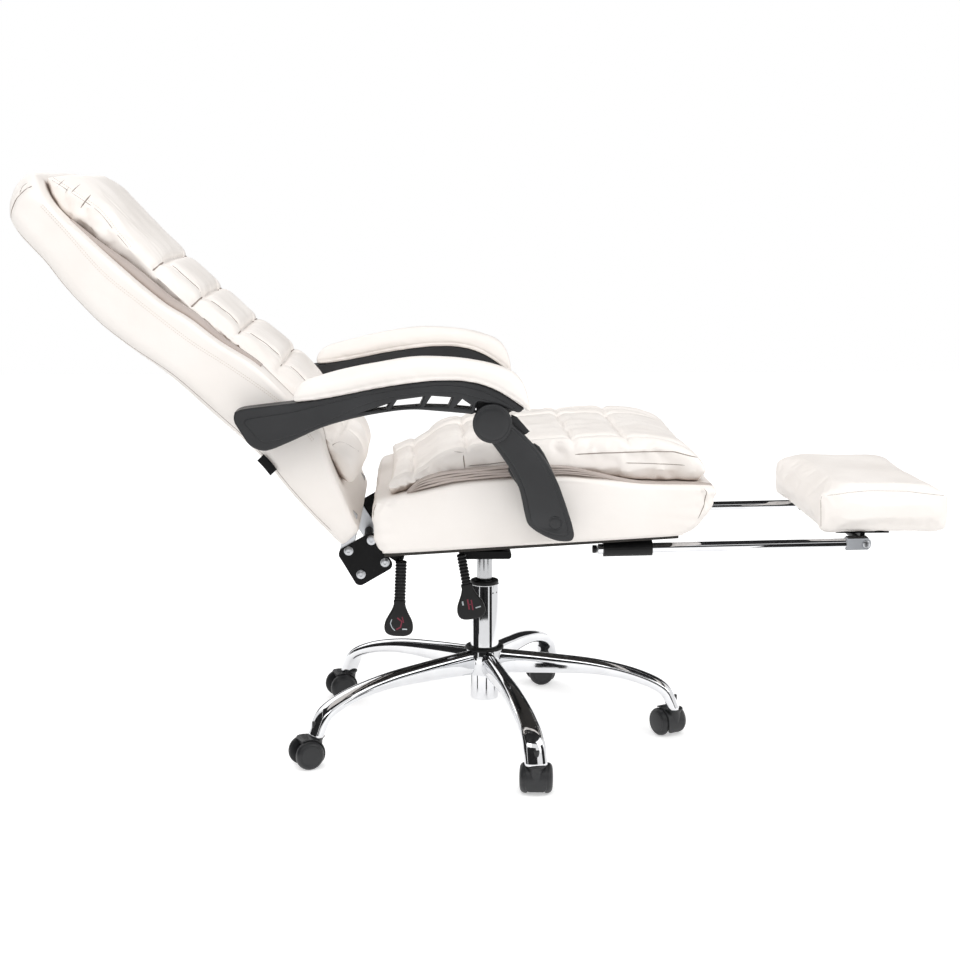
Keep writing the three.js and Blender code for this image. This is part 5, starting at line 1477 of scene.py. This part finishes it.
def rails():
    slope = math.radians(0.9)
    at = lambda x: FOOT_ROD[1] + math.tan(slope) * (x - FOOT_ROD[0])
    for side, sign in SIDES:
        y = sign * 180.0
        start, end = 183.0, 616.0
        ring = lambda x, r: [mm(x, y + r * math.cos(a), at(x) + r * math.sin(a)) for a in around(40)]
        stations = [(start, 7.0), (start, 8.1), (start + 0.5, 8.5), (end, 8.5), (end, 7.0)]
        tube_ = loft("tube", [ring(x, r) for x, r in [*stations, stations[0]]], CHROME, caps=False)
        grey_body = [
            (600, at(600) - 10), (636, at(636) - 10), (640.5, at(640) - 6), (642, at(642)),
            (640.5, at(640) + 6), (636, at(636) + 10), (600, at(600) + 10),
        ]
        clevis = plate("clevis", grey_body, y - 10, y + 10, GREY, bevel=2.2, holes=[circle(FOOT_ROD, 4.3, 24)], segments=4)
        apply_modifiers(clevis)
        rail = join(f"footrest_rail_cover_{side}", [rounded(tube_, 0), clevis])
        hard_piece(rail, "footrest_slider", "chrome", f"footrest_rail_{side}")
        profile = [(0, -0.4), (6.4, -0.4), (6.8, 0.2), (6.4, 1.6), (4.8, 2.4), (0, 2.6)]
        head = sideways("head", profile, STEEL, FOOT_ROD, 190.4, sign)
        hard_piece(join(f"footrest_rod_end_{side}", [head]), "footrest_slider", "steel")
        strip = [(602, at(602) + 9.4), (637, at(637) + 9.4), (636, at(636) + 11.2), (603, at(603) + 11.2)]
        cover = plate(f"clevis_top_{side}", strip, y - 9, y + 9, SOFT_BLACK, bevel=0.6)
        finish_piece(cover, "footrest_slider", "soft_black")
        stub = turned(
            "stub", [(0, 3), (6.0, 3), (6.6, 2), (6.8, -4.2), (5.4, -4.6), (0, -4.6)], SOFT_BLACK,
            centre=mm(178.6, y, at(179)), axis="X", segments=36,
        )
        hard_piece(join(f"rail_end_cap_{side}", [stub]), "footrest_slider", "soft_black")


def back_tag():
    """Plain black cloth label sewn into the shell's rear edge, without any lettering."""
    rings = []
    for z in np.linspace(196, 228, 9):
        x = float(SHELL_REAR(z)) + 4
        corners = ((x - 9, -256.6), (x - 9, -258.0), (x + 6, -259.4), (x + 6, -258.2))
        rings.append([leaned(a, y, z) for a, y in corners])
    tag = loft("shell_tag", [[mm(*p) for p in ring] for ring in rings], BLACK_STEEL)
    finish_piece(rounded(tag, 0.3, 2, 40), "back", "black_steel")


# ---------------------------------------------------------------- camera, light and floor

# The camera's place, turn and focal length in pixels were fitted to the photograph
FOCAL_PIXELS, PHOTO_PIXELS, SENSOR = 1698.5, 960, 36
camera = bpy.data.objects.new("camera", bpy.data.cameras.new("camera"))
bpy.context.scene.collection.objects.link(camera)
camera.location = (-0.1046, -2.9518, 0.9694)
camera.rotation_euler = (math.radians(90 - 9.747), 0, math.radians(-1.874))
camera.data.lens = FOCAL_PIXELS / PHOTO_PIXELS * SENSOR
camera.data.sensor_width = SENSOR
bpy.context.scene.camera = camera
bpy.context.scene.view_settings.view_transform = "Standard"

floor_points = [(-6, -6, 0), (6, -6, 0), (6, 6, 0), (-6, 6, 0)]


def looked_at(tree):
    """One for rays from the camera, from a mirror or through glass, and zero for all others."""
    rays = tree.nodes.new("ShaderNodeLightPath")
    socket = rays.outputs["Is Camera Ray"]
    for kind in ("Is Glossy Ray", "Is Transmission Ray"):
        either = tree.nodes.new("ShaderNodeMath")
        either.operation = "MAXIMUM"
        tree.links.new(socket, either.inputs[0])
        tree.links.new(rays.outputs[kind], either.inputs[1])
        socket = either.outputs[0]
    return socket


def floor_material():
    """White paper: it shows the chair's shadow, and elsewhere is as white as the backdrop."""
    material = bpy.data.materials.new("white_floor")
    material.use_nodes = True
    tree = material.node_tree
    shader = tree.nodes["Principled BSDF"]
    shader.inputs["Base Color"].default_value = (0.9, 0.9, 0.9, 1)
    shader.inputs["Roughness"].default_value = 0.85
    shader.inputs["Specular IOR Level"].default_value = 0.1
    share = tree.nodes.new("ShaderNodeMath")
    share.operation = "MULTIPLY"
    share.inputs[1].default_value = FLOOR_GLOW
    tree.links.new(looked_at(tree), share.inputs[0])
    tree.links.new(share.outputs[0], shader.inputs["Emission Strength"])
    shader.inputs["Emission Color"].default_value = (1, 1, 1, 1)
    return material


FLOOR_GLOW = 0.42
floor = mesh_object("floor", floor_points, [(0, 1, 2, 3)], floor_material(), smooth=False)

# Dark cards round the set give the chrome its black reflections
card_material = plastic_material("dark_card", (0.01, 0.01, 0.011), 0.9)
for name, corners in {
    "card_overhead": [(-3.6, -2.7, 2.9), (3.6, -2.7, 2.9), (3.6, 3.3, 2.9), (-3.6, 3.3, 2.9)],
    "card_back": [(-3.2, 3.3, 0.5), (3.2, 3.3, 0.5), (3.2, 3.3, 2.9), (-3.2, 3.3, 2.9)],
    "card_front": [(-3.4, -4.2, 0.7), (2.2, -4.2, 0.7), (2.2, -4.2, 3.0), (-3.4, -4.2, 3.0)],
    "card_left": [(-3.5, -3.4, 0.25), (-3.5, 1.6, 0.25), (-3.5, 1.6, 2.7), (-3.5, -3.4, 2.7)],
    "card_low_right": [(0.56, -0.70, 0.0), (0.80, -0.46, 0.0), (0.80, -0.46, 0.5), (0.56, -0.70, 0.5)],
    "card_low_left": [(-0.80, -0.67, 0.0), (-1.0, 0.25, 0.0), (-1.0, 0.25, 0.55), (-0.80, -0.67, 0.55)],
}.items():
    card = mesh_object(name, corners, [(0, 1, 2, 3)], card_material, smooth=False)
    for ray in ("camera", "diffuse", "shadow", "transmission"):
        setattr(card, f"visible_{ray}", False)

# The backdrop is white where it is looked at or mirrored, and gives a softer light elsewhere
world = bpy.data.worlds.new("studio")
bpy.context.scene.world = world
world.use_nodes = True
tree = world.node_tree
background = tree.nodes["Background"]
background.inputs["Color"].default_value = (1, 1, 1, 1)
level = tree.nodes.new("ShaderNodeMapRange")
level.inputs["To Min"].default_value = 0.74
level.inputs["To Max"].default_value = 1.0
tree.links.new(looked_at(tree), level.inputs["Value"])
tree.links.new(level.outputs["Result"], background.inputs["Strength"])

for name, where, size, power in (
    ("key", (-0.6, -2.2, 3.3), 2.6, 44),
    ("fill", (2.4, -1.4, 2.3), 2.2, 27),
    ("rim", (-1.6, 2.4, 2.4), 2.4, 28),
):
    lamp = bpy.data.lights.new(name, "AREA")
    lamp.energy = power
    lamp.size = size
    obj = bpy.data.objects.new(name, lamp)
    obj.location = where
    obj.rotation_euler = (Vector((0, 0, 0.5)) - Vector(where)).to_track_quat("-Z", "Y").to_euler()
    bpy.context.scene.collection.objects.link(obj)

for node in nodes.values():
    rounded(node, 0.5, 2, 40)

box_piece = upholstered(seat_box(), "seat", "seat_base")
cushion_piece = upholstered(seat_cushion(), "seat", "seat_cushion")
seat_details(box_piece, cushion_piece)
shell_piece = upholstered(back_shell(), "back", "back_shell")
back_piece = upholstered(back_cushion(), "back", "back_cushion")
back_details(shell_piece, back_piece)
back_tag()
for side, sign in SIDES:
    upholstered(arm_pad(f"arm_pad_cover_{side}", sign), f"arm_{side}", f"arm_pad_{side}")
    finish_piece(arm_frame(side, sign), f"arm_{side}", "black_plastic", f"arm_frame_{side}")
    finish_piece(arm_strut(side, sign), f"strut_{side}", "black_plastic", f"arm_strut_{side}")
    finish_piece(arm_disc(side, sign), f"strut_{side}", "black_plastic", f"arm_disc_{side}")
foot_piece = upholstered(footrest_pad(), "footrest", "footrest_pad")
for side, sign in SIDES:
    face = lambda pts: [(x, sign * 200, z) for x, z in pts]
    # Painted shade: dark lines along the pad's seams
    sewn(f"footrest_seam_shade_{side}", "footrest", seam_lines(foot_piece, face, (0, -sign, 0), SHADE, [
        ([(558, 403), (557, 430), (556, 458), (560, 465)], 0.55),
        ([(560, 463), (600, 468), (640, 470), (700, 469), (768, 462)], 0.45),
    ]))

finish_piece(star_base(), "base", "chrome", "star_base")
for k in range(5):
    caster(k)
column()
lever("recline", -145, -200, -2.6, 9.5, 66, {
    "red": [([(-3, -30), (5, -36), (3, -46), (-4, -50)], 2.4), ([(5, -28), (8, -38)], 1.6)],
    "pale": [([(-12, -33), (-14, -40), (-11, -47), (-6, -52)], 1.4), ([(6, -49), (14, -49)], 2.0)],
})
lever("lift", -45, -150, 10, 8, 52, {
    "red": [([(-3, -26), (-3, -44)], 2.6), ([(3, -28), (3, -46)], 2.2), ([(-3, -35), (3, -36)], 1.6)],
    "pale": [([(-12, -28), (-12, -35)], 2.4), ([(8, -43), (17, -42)], 2.0)],
})
hinge_bolts()
rails()
